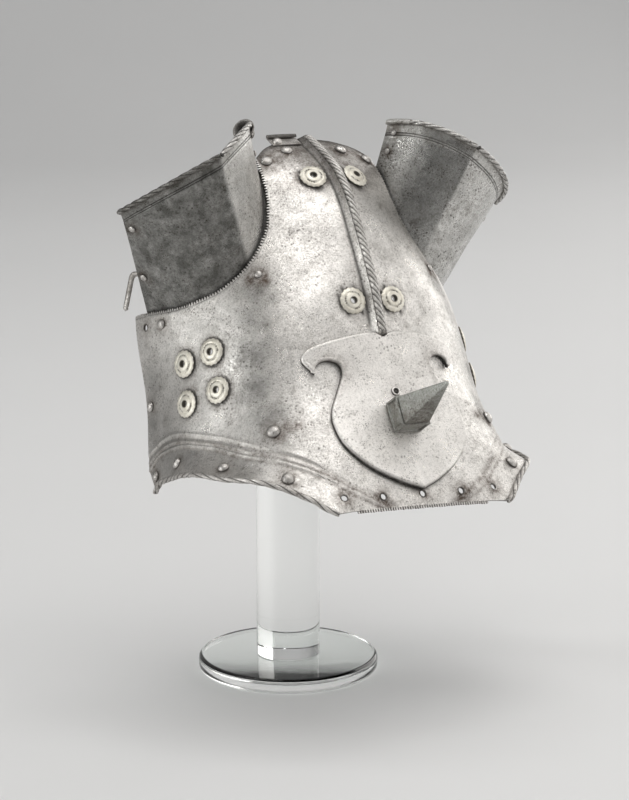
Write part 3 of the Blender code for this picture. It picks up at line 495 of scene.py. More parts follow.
def thick_grid(grid, normals, thickness):
    """Points and faces of a closed sheet with the grid as its outer face."""
    columns, rows = grid.shape[:2]
    count = columns * rows
    points = np.concatenate([grid.reshape(-1, 3),
                             (grid - normals * thickness).reshape(-1, 3)])
    ids = np.arange(count).reshape(columns, rows)
    outer = np.stack([ids[:-1, :-1], ids[:-1, 1:], ids[1:, 1:], ids[1:, :-1]], -1).reshape(-1, 4)
    inner = outer[:, ::-1] + count
    edge = np.concatenate([ids[:, 0][::-1], ids[0, 1:], ids[1:, -1], ids[-1, :-1][::-1][:-1]])
    following = np.roll(edge, -1)
    wall = np.stack([following, edge, edge + count, following + count], -1)
    return points, np.concatenate([outer, inner, wall])


def leaned(points):
    matrix = np.array(LEAN)
    return np.asarray(points, float) @ matrix[:3, :3].T + matrix[:3, 3]


def make_piece(name, points, faces, material, slot, nodes=(), attributes=None, sharp=35.0,
               lean=True):
    mesh = bpy.data.meshes.new(name)
    points = np.asarray(points, float)
    placed = leaned(points) if lean else points
    mesh.from_pydata(placed.tolist(), [], [list(map(int, face)) for face in faces])
    mesh.shade_smooth()
    mesh.set_sharp_from_angle(angle=math.radians(sharp))
    for key, values in (attributes or {}).items():
        layer = mesh.attributes.new(key, "FLOAT", "POINT")
        layer.data.foreach_set("value", np.asarray(values, np.float32))
    mesh.materials.append(material)
    item = bpy.data.objects.new(name, mesh)
    bpy.context.scene.collection.objects.link(item)
    if nodes:
        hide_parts(*nodes)
    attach(item, "root")
    return item


def side_mirror(side):
    return Vector((side, 1.0, 1.0))


def as_rows(points):
    return np.array([tuple(p) for p in points])


def bell(distance, width):
    """1 at no distance, and close to 0 from about twice the width."""
    return np.exp(-(distance / width)**2)


def distance_from(points, place):
    return np.linalg.norm(points - np.array(place), axis=1)


def near(points, places, radius):
    """For each point, from 1 at a place down to 0 away from all of them."""
    result = np.zeros(len(points))
    for place in places:
        result = np.maximum(result, bell(distance_from(points, place), radius))
    return result


def nearest_distance(points, others, chunk=3000):
    """For each point, how far the nearest of the others is, worked out in chunks."""
    return np.concatenate([
        np.sqrt(((points[s:s + chunk, None, :] - others[None, :, :])**2).sum(-1).min(1))
        for s in range(0, len(points), chunk)])


def line_points(line):
    table = [(index, *spot) for index, spot in enumerate(line)]
    points = []
    for i in range((len(line) - 1) * 14 + 1):
        sweep, height = (smooth_value(table, value, i / 14) for value in (1, 2))
        point = face_point(math.radians(sweep), height / 1000.0 / FACE_LENGTH)
        points.append(tuple(point))
    return np.array(points)


def swept(path, sides_way, radius_at, count):
    """A tube round a path. radius_at takes the turn and the distance walked."""
    walked, points = 0.0, []
    for index, centre in enumerate(path):
        ahead = path[min(index + 1, len(path) - 1)] - path[max(index - 1, 0)]
        tangent = ahead.normalized()
        first = (sides_way[index] - tangent * sides_way[index].dot(tangent)).normalized()
        second = tangent.cross(first)
        if index:
            walked += (centre - path[index - 1]).length
        for k in range(count):
            turn = math.tau * k / count
            radius = radius_at(turn, walked)
            points.append(centre + (first * math.cos(turn) + second * math.sin(turn)) * radius)
    faces = []
    for index in range(len(path) - 1):
        for k in range(count):
            a, b = index * count + k, index * count + (k + 1) % count
            faces.append((a, b, b + count, a + count))
    faces.append(tuple(range(count))[::-1])
    faces.append(tuple(range((len(path) - 1) * count, len(path) * count)))
    return as_rows(points), faces


def even_positions(point_at, start, end, step):
    """Where to sample a curve at about even steps."""
    fine = [start + (end - start) * i / 400 for i in range(401)]
    places = [point_at(t) for t in fine]
    lengths = [0.0]
    for a, b in zip(places, places[1:]):
        lengths.append(lengths[-1] + (b - a).length)
    count = max(int(lengths[-1] / step), 2)
    return np.interp(np.linspace(0, lengths[-1], count + 1), lengths, fine)


def even_path(point_at, start, end, step, side_at):
    """Samples a curve at about even steps, with a sideways direction at each place."""
    wanted = even_positions(point_at, start, end, step)
    return [point_at(t) for t in wanted], [side_at(t) for t in wanted]


def rope_radius(radius, pitch, flip_after=None, rear_pitch=None):
    """Radius of a rope: deep narrow grooves that wind round it, the other way past the flip."""
    def at(turn, walked):
        way, length = 1.0, pitch
        if flip_after is not None and walked > flip_after:
            way, length = -1.0, rear_pitch
        phase = math.tau * (walked - (flip_after or 0.0)) / length + way * ROPE_STRANDS * turn
        swell = abs(math.sin(phase / 2.0))**0.6
        return radius * (0.62 + 0.38 * swell)
    return at


def mirrored(points, side):
    return np.asarray(points, float) * np.array([side, 1.0, 1.0])


def mirrored_faces(faces, side):
    return [tuple(face)[::-1] for face in faces] if side < 0 else faces


def blank(points, stain_and_shade=0.0, dark=0.0, tone=0.0):
    """The same mark, or each point's own, on all of a piece's points."""
    size = len(points)
    return {"stain_and_shade": np.full(size, stain_and_shade), "dark": np.full(size, dark),
            "tone": np.full(size, tone)}


def sheet_marks(stain_and_shade, dark, tone, inner_dark):
    """Marks of a closed sheet: those of its outer face, and an even inner face painted dark,
    painted shade so that holes through it look dark.
    """
    # Painted shade over the whole inner face.
    inside = np.full(len(tone), 0.9)
    return {"stain_and_shade": np.concatenate([np.clip(stain_and_shade, 0, 1), inside]),
            "dark": np.concatenate([np.clip(dark, 0, 1), inside * inner_dark]),
            "tone": np.concatenate([tone, inside])}


def collect(parts, faces):
    """Joins many small solids with the same faces."""
    points, joined = [], []
    for part in parts:
        base = len(points)
        points += part
        joined += [tuple(base + i for i in face) for face in faces]
    return np.array(points), joined


def lathe(profile, sides, scallop=None):
    """Points and faces of a turned piece. The profile runs from the middle outwards."""
    points, faces = [], []
    for radius, height in profile:
        for k in range(sides):
            turn = math.tau * k / sides
            reach = radius * (scallop(turn, radius) if scallop else 1.0)
            points.append((reach * math.cos(turn), reach * math.sin(turn), height))
    for ring in range(len(profile) - 1):
        for k in range(sides):
            a, b = ring * sides + k, ring * sides + (k + 1) % sides
            faces.append((a, a + sides, b + sides, b))
    return np.array(points), faces


def stood(points, place, normal, spin=0.0):
    """Sets points made round the z axis on a place, facing along its normal."""
    matrix = (Matrix.Translation(place) @ normal.to_track_quat("Z", "Y").to_matrix().to_4x4()
              @ Matrix.Rotation(spin, 4, "Z"))
    array = np.array(matrix)
    return np.asarray(points) @ array[:3, :3].T + array[:3, 3]


def roped(path, ways, radius, radius_at):
    """A rope round a path, with painted shade in its grooves: how dark each point is there."""
    points, faces = swept(path, ways, radius_at, ROPE_SIDES)
    away = nearest_distance(points, as_rows(path))
    return points, faces, np.clip((0.90 - away / radius) * 5.0, 0, 1)


# Materials
class Shade:
    """A small helper to wire a node material."""

    def __init__(self, name):
        self.material = bpy.data.materials.new(name)
        self.material.use_nodes = True
        self.tree = self.material.node_tree
        self.tree.nodes.clear()

    def add(self, kind, inputs=None, **settings):
        item = self.tree.nodes.new(kind)
        for key, value in settings.items():
            setattr(item, key, value)
        for key, value in (inputs or {}).items():
            if isinstance(value, bpy.types.NodeSocket):
                self.tree.links.new(value, item.inputs[key])
            else:
                item.inputs[key].default_value = value
        return item

    def place(self):
        return self.add("ShaderNodeTexCoord").outputs["Object"]

    def noise(self, scale, detail=4.0, roughness=0.6, distortion=0.0, stretch=(1, 1, 1)):
        mapping = self.add("ShaderNodeMapping", {"Vector": self.place(), "Scale": stretch})
        return self.add("ShaderNodeTexNoise", {
            "Vector": mapping.outputs[0], "Scale": scale, "Detail": detail,
            "Roughness": roughness, "Distortion": distortion}).outputs["Fac"]

    def spots(self, scale, low, high):
        cells = self.add("ShaderNodeTexVoronoi", {"Vector": self.place(), "Scale": scale})
        return self.ramp(cells.outputs["Distance"], low, high, 1.0, 0.0)

    def ramp(self, value, low, high, start=0.0, end=1.0):
        return self.add("ShaderNodeMapRange", {0: value, 1: low, 2: high, 3: start,
                                               4: end}).outputs[0]

    def math(self, operation, a, b=0.0):
        return self.add("ShaderNodeMath", {0: a, 1: b}, operation=operation,
                        use_clamp=operation in ("ADD", "MULTIPLY")).outputs[0]

    def mix(self, amount, a, b):
        return self.add("ShaderNodeMix", {0: amount, 6: a, 7: b}, data_type="RGBA").outputs[2]

    def layer(self, colour, amount, strength, over):
        """Lays a second colour over the first one, by an amount times a strength."""
        return self.mix(self.math("MULTIPLY", amount, strength), colour, over)

    def attribute(self, name):
        return self.add("ShaderNodeAttribute", attribute_name=name).outputs["Fac"]

    def bump(self, strength, distance, height):
        return self.add("ShaderNodeBump", {"Strength": strength, "Distance": distance,
                                           "Height": height}).outputs[0]

    def surface(self, **inputs):
        shader = self.add("ShaderNodeBsdfPrincipled",
                          {key.replace("_", " "): value for key, value in inputs.items()})
        out = self.add("ShaderNodeOutputMaterial")
        self.tree.links.new(shader.outputs[0], out.inputs[0])
        return self.material


def steel(name, pale, deep, roughness, pitted, marks, tint=(1.03, 1.0, 0.962)):
    """Old satin steel: clouds, grain, pits and brown stains, with painted shade from the tone
    marks, from the dark marks in recesses and from some stain marks.
    """
    shade = Shade(name)

    def tone_of(value):
        return (*(value * part for part in tint), 1.0)

    def patch(scale, detail, rough, low, high, start=0.0, end=1.0, **settings):
        return shade.ramp(shade.noise(scale, detail, rough, **settings), low, high, start, end)

    wide = patch(16.0, 4.0, 0.6, 0.34, 0.66)
    clouds = patch(42.0, 9.0, 0.72, 0.37, 0.63)
    patches = patch(120.0, 7.0, 0.76, 0.46, 0.62)
    grain = patch(700.0, 4.0, 0.78, 0.46, 0.60)
    scratch = patch(260.0, 4.0, 0.75, 0.52, 0.68, stretch=(2.2, 2.2, 0.28))
    worn = patch(70.0, 6.0, 0.75, 0.44, 0.62)
    colour = shade.layer(tone_of(pale), clouds, 0.8, tone_of(deep))
    colour = shade.layer(colour, wide, 0.35, tone_of(deep * 0.75))
    colour = shade.layer(colour, shade.math("MULTIPLY", patches, worn), marks,
                         (0.19, 0.17, 0.145, 1.0))
    colour = shade.layer(colour, grain, 0.7 * marks, (0.21, 0.195, 0.175, 1.0))
    colour = shade.layer(colour, scratch, 0.25 * marks, tone_of(min(1.0, pale * 1.15)))
    # Painted shade: the tone marks darken the colour, mostly where a face would reflect dim
    # surroundings.
    colour = shade.layer(colour, shade.attribute("tone"),
                         patch(95.0, 9.0, 0.74, 0.36, 0.60, 0.70, 1.20),
                         (0.072, 0.072, 0.065, 1.0))
    specks = shade.math("MULTIPLY", patch(900.0, 2.0, 0.6, 0.57, 0.63),
                        patch(60.0, 6.0, 0.75, 0.42, 0.60, 0.12, 1.0))
    pits = shade.math("MULTIPLY", shade.spots(300.0, 0.10, 0.34),
                      patch(44.0, 5.0, 0.75, 0.46, 0.58))
    pits = shade.math("MAXIMUM", pits, shade.math("MULTIPLY", specks, 0.95))
    colour = shade.layer(colour, pits, pitted, (0.050, 0.040, 0.032, 1.0))
    # Brown stains, and painted shade where the stain marks stand for it.
    stain_and_shade = shade.math("MULTIPLY", shade.attribute("stain_and_shade"),
                       patch(190.0, 7.0, 0.80, 0.34, 0.60, 0.10, 1.15))
    colour = shade.layer(colour, stain_and_shade, 0.95, (0.095, 0.068, 0.052, 1.0))
    # Painted shade with dark patina: the dark marks in recesses, gaps, grooves and holes.
    dark = shade.math("MULTIPLY", shade.attribute("dark"),
                      patch(260.0, 4.0, 0.7, 0.10, 0.55, 0.65, 1.05))
    colour = shade.mix(dark, colour, (0.016, 0.013, 0.010, 1.0))
    rough = shade.math("ADD", shade.ramp(clouds, 0.0, 1.0, roughness - 0.10, roughness + 0.12),
                       shade.math("MULTIPLY", shade.math("ADD", stain_and_shade, pits), 0.28))
    rough = shade.math("ADD", rough, shade.math("MULTIPLY", dark, 0.3))
    sunk = shade.math("ADD", grain, pits)
    height = shade.add("ShaderNodeMath", {0: 1.0, 1: sunk}, operation="SUBTRACT").outputs[0]
    height = shade.add("ShaderNodeMath", {0: height, 1: shade.math("MULTIPLY", clouds, 0.9)},
                       operation="ADD").outputs[0]
    metal = shade.ramp(dark, 0.0, 1.0, 1.0, 0.3)
    return shade.surface(Base_Color=colour, Metallic=metal, Roughness=rough,
                         Normal=shade.bump(0.24, 0.0005, height))


def pale_metal():
    shade = Shade("rosette_metal_worn")
    clouds = shade.ramp(shade.noise(240.0, 5.0, 0.7), 0.34, 0.66)
    colour = shade.mix(clouds, (0.85, 0.82, 0.74, 1.0), (0.65, 0.61, 0.52, 1.0))
    broken = shade.ramp(shade.noise(520.0, 3.0, 0.7), 0.36, 0.54)
    # A rosette's dark and stain marks, dirt and painted shade, are mixed to near black.
    dark = shade.math("MULTIPLY", shade.attribute("dark"), broken)
    dark = shade.math("MAXIMUM", dark, shade.attribute("stain_and_shade"))
    colour = shade.mix(dark, colour, (0.045, 0.038, 0.026, 1.0))
    specks = shade.math("MULTIPLY", shade.spots(700.0, 0.05, 0.26),
                        shade.ramp(shade.noise(300.0, 3.0), 0.5, 0.6))
    colour = shade.layer(colour, specks, 0.6, (0.16, 0.13, 0.09, 1.0))
    return shade.surface(Base_Color=colour, Metallic=shade.ramp(dark, 0.0, 1.0, 0.55, 0.1),
                         Roughness=shade.ramp(dark, 0.0, 1.0, 0.42, 0.75),
                         Normal=shade.bump(0.35, 0.0004, clouds))


def clear_plastic():
    shade = Shade("clear_acrylic_polished")
    haze = shade.ramp(shade.noise(30.0, 5.0, 0.6), 0.35, 0.70)
    scuffs = shade.ramp(shade.noise(90.0, 4.0, 0.7, stretch=(1, 1, 0.15)), 0.35, 0.75)
    colour = shade.mix(haze, (0.985, 0.992, 0.985, 1.0), (0.965, 0.978, 0.972, 1.0))
    glass = shade.add("ShaderNodeBsdfPrincipled", {
        "Base Color": colour, "Roughness": shade.ramp(scuffs, 0.0, 1.0, 0.01, 0.05),
        "Normal": shade.bump(0.03, 0.0004, scuffs), "IOR": 1.49, "Transmission Weight": 1.0})
    clear = shade.add("ShaderNodeBsdfTransparent", {"Color": (0.86, 0.88, 0.87, 1.0)})
    shadow = shade.add("ShaderNodeLightPath").outputs["Is Shadow Ray"]
    both = shade.add("ShaderNodeMixShader", {0: shadow, 1: glass.outputs[0],
                                             2: clear.outputs[0]})
    out = shade.add("ShaderNodeOutputMaterial")
    shade.tree.links.new(both.outputs[0], out.inputs[0])
    return shade.material


def studio_paper():
    """Pale paper, painted darker along the camera's view and to its left: painted falloff of the
    light.
    """
    shade = Shade("studio_paper")

    def along(way):
        return shade.add("ShaderNodeVectorMath", {0: shade.place(), 1: way},
                         operation="DOT_PRODUCT").outputs["Value"]

    # Painted falloff of the light: darker away from the camera and to the left.
    depth = shade.ramp(along((0.514, 0.858, 0.0)), -0.4, 3.2)
    across = shade.ramp(along((0.858, -0.514, 0.0)), -0.6, 0.6, 0.14, -0.10)
    depth = shade.math("ADD", depth, across)
    soft = shade.ramp(shade.noise(3.0, 3.0, 0.5), 0.3, 0.7, 0.0, 0.05)
    depth = shade.math("ADD", depth, soft)
    colour = shade.mix(depth, (0.76, 0.76, 0.76, 1.0), (0.56, 0.56, 0.56, 1.0))
    return shade.surface(Base_Color=colour, Roughness=0.55,
                         Normal=shade.bump(0.05, 0.001, shade.noise(400.0, 3.0)))


# Pieces
def all_rivet_places():
    places = {name: face_place(*spot) for name, spot in PLATE_RIVETS.items()}
    for name, (position, out) in FLANGE_RIVETS.items():
        places[name] = flange_place(position, out)
    for name, (across, up) in GUARD_RIVETS.items():
        places[name] = (guard_wall_point(across, up), guard_wall_normal(across, up)[0])
    return places


RIVET_PLACES = all_rivet_places()


def front_edge_points(position, steps):
    """Down the plate's plain front to its straight lower edge."""
    blend = position / CORNER_COLUMN
    corner = flange_curve(CORNER_COLUMN, steps)[0]
    corner_sweep, corner_share = chart_point(CORNER_COLUMN, 1.0)
    sweep, share = chart_point(position, 1.0)
    points = []
    for i in range(steps):
        left = 1.0 - (i + 1) / steps
        turn = math.radians(CORNER_TURN) * (1.0 - left)
        plain = face_point(sweep + turn * blend**2, share * left)
        plain_corner = face_point(corner_sweep + turn, corner_share * left)
        points.append(plain + (corner[i] - plain_corner) * blend**4)
    return points


def keel_foot_points(index, first_flange):
    """Down from the keel's foot and the strip beside it to the lower edge."""
    blend = max(0, index - KEEL_COLUMNS) / BESIDE_COLUMNS
    offset = min(index, KEEL_COLUMNS) / KEEL_COLUMNS
    points = []
    for i in range(FLANGE_ROWS):
        share = PLATE_COLUMNS[0][3] * (1.0 - (i + 1) / FLANGE_ROWS)
        low = face_point(math.atan(offset * KEEL_HALF_WIDTH / half_width_at(share)), share)
        points.append(low.lerp(first_flange[i], blend))
    return points


def plate_grid():
    """Columns from the middle round to one rear edge, over the keel and then the chart."""
    near_root = [NEAR_ROOT_STEP * i for i in range(NEAR_ROOT_ROWS)]
    charts = [lambda row, o=i / KEEL_COLUMNS: keel_chart(o, row)
              for i in range(KEEL_COLUMNS + 1)]
    charts += [lambda row, t=i / BESIDE_COLUMNS: between_chart(t, row)
               for i in range(1, BESIDE_COLUMNS)]
    first = len(charts)
    positions = [i / CHART_STEPS for i in range((len(PLATE_COLUMNS) - 1) * CHART_STEPS + 1)]
    charts += [lambda row, p=p: chart_point(p, row) for p in positions]
    first_flange = front_edge_points(0.0, FLANGE_ROWS)
    columns = []
    for index, chart in enumerate(charts):
        rough = [face_point(*chart(i / 16)) for i in range(17)]
        length = sum((b - a).length for a, b in zip(rough, rough[1:]))
        rows = [i / UPPER_ROWS * (1.0 - near_root[-1] / length) for i in range(UPPER_ROWS)]
        rows += [1.0 - distance / length for distance in reversed(near_root)]
        points = [face_point(*chart(row)) for row in rows]
        if index <= KEEL_COLUMNS:
            section = KEEL_HEIGHT * smooth_value(KEEL_SECTION, 1, index / KEEL_COLUMNS)
            points = [point + FACE_OUT * (section * keel_fade(row))
                      for point, row in zip(points, rows)]
        if index < first:
            points += keel_foot_points(index, first_flange)
        elif positions[index - first] <= CORNER_COLUMN:
            points += front_edge_points(positions[index - first], FLANGE_ROWS)
        else:
            points += flange_curve(positions[index - first], FLANGE_ROWS)[0]
        columns.append([tuple(p) for p in points])
    return np.array(columns)


def plate_relief(points):
    """Height of the ridge and groove lines, of dents and of uneven hammer work."""
    flat = np.abs(points) * np.array([1, 0, 0]) + points * np.array([0, 1, 1])
    ridge = nearest_distance(flat, line_points(RIDGE_LINE))
    groove = nearest_distance(flat, line_points(GROOVE_LINE))
    relief = 0.00055 * bell(ridge, 0.0009) - 0.00045 * bell(groove, 0.0017)
    relief += 0.00030 * bell(groove - 0.0030, 0.0012)
    uneven = rough_shift(points, 0.050, 0.0004, 3.1) + rough_shift(points, 0.016, 0.00014, 7.7)
    by_keel = np.exp(-(points[:, 0] / (1.5 * KEEL_HALF_WIDTH))**4)
    return relief + uneven * (1.0 - by_keel), ridge, groove


def plate_tone(points):
    """Wide darker patches: painted shade down each brow, for the dim surroundings it would
    reflect, and clouds over the poll.
    """
    tone = np.zeros(len(points))
    for side in SIDES.values():
        for sweep, share, radius, amount in SHADE_AND_MOTTLE_PATCHES:
            place = face_place(sweep, share, side)[0]
            tone = np.maximum(tone, amount * near(points, [place], radius))
    return tone


def all_marks():
    """Places with brown stains round them on the plate."""
    places = []
    for side in SIDES.values():
        places += [place * side_mirror(side) for place, _ in RIVET_PLACES.values()]
        places += [face_place(*spot, side)[0] for spot in EDGE_HOLES + (CHEEK_HOLE,)]
    return places


def plate_marks(flat, shape, ridge, groove):
    """Brown stains on the plate's outer face, darker along its upper edge, with painted shade
    beside the ridge, in the groove, at the keel's foot and round the rosettes and small holes.
    """
    edge_rows = np.zeros(shape)
    edge_rows[:, 0] = 0.8
    edge_rows[:, 1] = 0.25
    on_keel = np.clip((flat[:, 2] - 0.295) / 0.004, 0, 1)
    stain_and_shade = 0.9 * near(flat, all_marks(), 0.0075)
    # Painted shade with stains beside the ridge and in the groove.
    stain_and_shade += 0.55 * bell(ridge - 0.0022, 0.0016) + 0.35 * bell(groove, 0.0022)
    stain_and_shade += 0.50 * np.clip((flat[:, 2] - 0.380) / 0.03, 0, 1)
    blots = [face_place(*spot, side)[0] for spot in BLOTS for side in SIDES.values()]
    stain_and_shade += 0.9 * near(flat, blots, 0.0045)
    # Painted shade: a dark line along the keel's foot.
    keel_foot = bell(np.abs(flat[:, 0]) - KEEL_HALF_WIDTH, 0.0007)
    dark = edge_rows.reshape(-1) + 0.75 * keel_foot * on_keel
    for side in SIDES.values():
        for spot in ROSETTES.values():
            # Painted shade in a ring just outside each rosette's rim, with a wider brown stain.
            away = distance_from(flat, face_place(*spot, side)[0])
            dark += 0.9 * bell(away - 0.0108, 0.0009)
            stain_and_shade += 0.35 * bell(away - 0.0120, 0.0030)
        for spot in EDGE_HOLES + (CHEEK_HOLE,):
            # Painted shade at the edge of each small hole.
            away = distance_from(flat, face_place(*spot, side)[0])
            dark += 0.8 * bell(away - EDGE_HOLE_RADIUS, 0.0004)
    return stain_and_shade, dark


def build_plate(material):
    half = plate_grid()
    left = half[::-1][:-1] * np.array([-1.0, 1.0, 1.0])
    grid = np.concatenate([left, half])
    flat = grid.reshape(-1, 3)
    relief, ridge, groove = plate_relief(flat)
    stain_and_shade, dark = plate_marks(flat, grid.shape[:2], ridge, groove)
    marks = sheet_marks(stain_and_shade, dark, plate_tone(flat), 0.9)
    grid = grid + grid_normals(grid) * relief.reshape(grid.shape[:2])[:, :, None]
    points, faces = thick_grid(grid, grid_normals(grid), PLATE_THICKNESS)
    plate = make_piece("main_plate_sheet", points, faces, material, "plate_steel",
                       ["main_plate"], marks)
    cut_holes(plate)


def small_hole_places():
    """The small round holes, with the middle one once and last."""
    places = [face_place(*spot, side) for spot in EDGE_HOLES[1:] + (CHEEK_HOLE,)
              for side in SIDES.values()]
    return places + [face_place(*EDGE_HOLES[0])]


def build_hole_rims(material):
    """A burr round each small hole, lining its wall and painted dark: painted shade in the hole,
    with brown stains.
    """
    profile = [(EDGE_HOLE_RADIUS + wider, height) for wider, height in (
        (-0.0001, -0.0014), (-0.0001, 0.0002), (0.0003, 0.0004), (0.0008, 0.0001),
        (0.0009, -0.0003))]
    points, faces = lathe(profile, 28)
    parts = [[tuple(p) for p in stood(points, place, normal)]
             for place, normal in small_hole_places()]
    points, faces = collect(parts, faces)
    make_piece("main_plate_hole_rims", points, faces, material, "plate_steel", ["main_plate"],
               blank(points, stain_and_shade=0.8, dark=0.55), sharp=60)


def cut_holes(plate):
    """Cuts the rosettes' holes and the small ones through the plate."""
    drums = bmesh.new()
    places = [(*face_place(*spot, side), ROSETTE_HOLE) for spot in ROSETTES.values()
              for side in SIDES.values()]
    places += [(*place, EDGE_HOLE_RADIUS) for place in small_hole_places()]
    for place, normal, radius in places:
        turn = (LEAN @ Matrix.Translation(place)
                @ normal.to_track_quat("Z", "Y").to_matrix().to_4x4())
        bmesh.ops.create_cone(drums, cap_ends=True, segments=28, radius1=radius,
                              radius2=radius, depth=0.016, matrix=turn)
    mesh = bpy.data.meshes.new("hole_drums")
    drums.to_mesh(mesh)
    drums.free()
    cutter = bpy.data.objects.new("hole_drums", mesh)
    bpy.context.scene.collection.objects.link(cutter)
    modifier = plate.modifiers.new("holes", "BOOLEAN")
    modifier.operation = "DIFFERENCE"
    modifier.solver = "EXACT"
    modifier.object = cutter
    bpy.context.view_layer.update()
    graph = bpy.context.evaluated_depsgraph_get()
    plate.data = bpy.data.meshes.new_from_object(plate.evaluated_get(graph))
    plate.modifiers.clear()
    bpy.data.objects.remove(cutter, do_unlink=True)


def keel_phase(offset, row):
    return math.tau * (row * KEEL_LENGTH / STRAND_PITCH - offset * STRAND_SLOPE)


def build_keel(material):
    """The roped strip on the keel's right flank."""
    columns, dark = [], []
    last = KEEL_END[1] - KEEL_START
    for i in range(KEEL_STRIPS + 1):
        offset = STRAND_START + (STRAND_END - STRAND_START) * i / KEEL_STRIPS
        ends = min(1.0, (1 - abs(2 * i / KEEL_STRIPS - 1)) * 6)
        column = []
        for j in range(KEEL_ROWS + 1):
            row = KEEL_START + last * j / KEEL_ROWS
            height = KEEL_HEIGHT * smooth_value(KEEL_SECTION, 1, abs(offset)) * keel_fade(row)
            groove = abs(math.sin(keel_phase(offset, row) / 2))**0.6
            lift = (0.0002 + 0.0009 * groove) * ends - 0.0004 * (1 - ends)
            point = face_point(*keel_chart(offset, row)) + FACE_OUT * (height + lift)
            point.x += lift * max(-0.8, min(0.8, 3 * offset))
            column.append(tuple(point))
            # Painted shade in the grooves between strands and where the strip's ends sink into
            # the plate.
            dark.append(min(1.0, 1.05 * (1 - groove)**1.3 + 0.8 * (1 - ends)))
        columns.append(column)
    grid = np.array(columns)
    points, faces = thick_grid(grid, grid_normals(grid), 0.0006)
    make_piece("main_plate_keel", points, faces, material, "plate_steel", ["main_plate"],
               blank(points, stain_and_shade=0.12, dark=np.array(dark + dark)), sharp=60)


def build_flange_ropes(material):
    def centre(position):
        points, heading, out = flange_curve(position, FLANGE_ROWS)
        return points[-1] + out * FLANGE_ROPE_RADIUS * 0.35 + heading * FLANGE_ROPE_RADIUS * 0.2

    def side(position):
        return flange_curve(position, FLANGE_ROWS)[2]

    path, ways = even_path(centre, CORNER_COLUMN, len(PLATE_COLUMNS) - 1.0, ROPE_STEP, side)
    points, faces, dark = roped(path, ways, FLANGE_ROPE_RADIUS, rope_radius(
        FLANGE_ROPE_RADIUS, FLANGE_ROPE_PITCH, FLANGE_ROPE_FLIP, FLANGE_ROPE_REAR_PITCH))
    for name, way in SIDES.items():
        make_piece(f"main_plate_rope_{name}", mirrored(points, way), mirrored_faces(faces, way),
                   material, "plate_steel", ["main_plate"],
                   blank(points, stain_and_shade=0.25, dark=dark), sharp=75)


def tooth(edge, inward, along, normal, sizes, rand):
    """A closed saw tooth that starts a little inside the edge."""
    width, tip, depth, least, most = sizes
    root = edge - inward * TOOTH_ROOT
    out = edge + inward * (depth + rand.uniform(least, most))
    ring = [root - along * width / 2, root + along * width / 2,
            out + along * tip / 2, out - along * tip / 2]
    return ([tuple(p + normal * 0.00002) for p in ring]
            + [tuple(p - normal * TOOTH_THICKNESS) for p in ring])


TOOTH_FACES = ((0, 1, 2, 3), (7, 6, 5, 4), (0, 4, 5, 1), (1, 5, 6, 2), (2, 6, 7, 3), (3, 7, 4, 0))


def tooth_marks(points):
    """Pale outer faces, with side walls that darken inwards: painted shade in the gaps between
    teeth.
    """
    return blank(points, 0.1, np.where(np.arange(len(points)) % 8 < 4, 0.03, 1.0))


def opening_teeth(rand):
    """Saw teeth round the cut-out for an ear."""
    parts = []
    for position in even_positions(lambda at: opening_inward(at)[0], *OPENING_TEETH_SPAN,
                                   TOOTH_PITCH):
        edge, inward, normal = opening_inward(float(position))
        along = inward.cross(normal).normalized()
        parts.append(tooth(edge, inward, along, normal, OPENING_TOOTH, rand))
    return collect(parts, TOOTH_FACES)


def front_teeth(rand):
    """Blunt teeth along the straight front edge, and the path of a dark rod behind them, painted
    shade that shows through their gaps.
    """
    parts, shade_rod = [], []
    for i in range(FRONT_TEETH):
        x = FRONT_TEETH_REACH * (2.0 * i / (FRONT_TEETH - 1) - 1.0)
        sweep = math.atan(abs(x) / half_width_at(0.0))
        for _ in range(6):
            sweep -= (face_point(sweep, 0.0).x - abs(x)) / HALF_WIDTH
        mirror = side_mirror(1 if x > 0 else -1)
        edge, normal = face_point(sweep, 0.0) * mirror, face_normal(sweep, 0.001) * mirror
        parts.append(tooth(edge, -FACE_UP, Vector((1, 0, 0)), normal, FRONT_TOOTH, rand))
        shade_rod.append(edge - FACE_UP * SHADE_ROD_DROP - normal * SHADE_ROD_BACK)
    return (*collect(parts, TOOTH_FACES), shade_rod)


def build_teeth(material):
    rand = random.Random(5)
    points, faces = opening_teeth(rand)
    for name, way in SIDES.items():
        make_piece(f"main_plate_teeth_{name}", mirrored(points, way),
                   mirrored_faces(faces, way), material, "plate_steel", ["main_plate"],
                   tooth_marks(points))
    points, faces, shade_rod = front_teeth(rand)
    # The rod is painted near black: painted shade for the teeth's gaps.
    shade_rod_points, shade_rod_faces = swept(shade_rod, [FACE_UP] * len(shade_rod), lambda turn, walked: SHADE_ROD_RADIUS, 10)
    make_piece("main_plate_front_shade_rod", shade_rod_points, shade_rod_faces, material, "plate_steel",
               ["main_plate"], blank(shade_rod_points, stain_and_shade=0.8, dark=0.95))
    make_piece("main_plate_teeth_front", points, faces, material, "plate_steel",
               ["main_plate"], tooth_marks(points))


def guard_rows(length):
    rest = [GUARD_NEAR_RIM[-1] + (length - GUARD_NEAR_RIM[-1]) * i / 40 for i in range(1, 41)]
    distances = [*GUARD_NEAR_RIM, *rest]
    return [1.0 - d / length for d in distances], distances


def guard_flare(distance):
    """The wall leans out a little towards its rim."""
    return GUARD_FLARE * math.exp(-(distance / 0.004)**2)


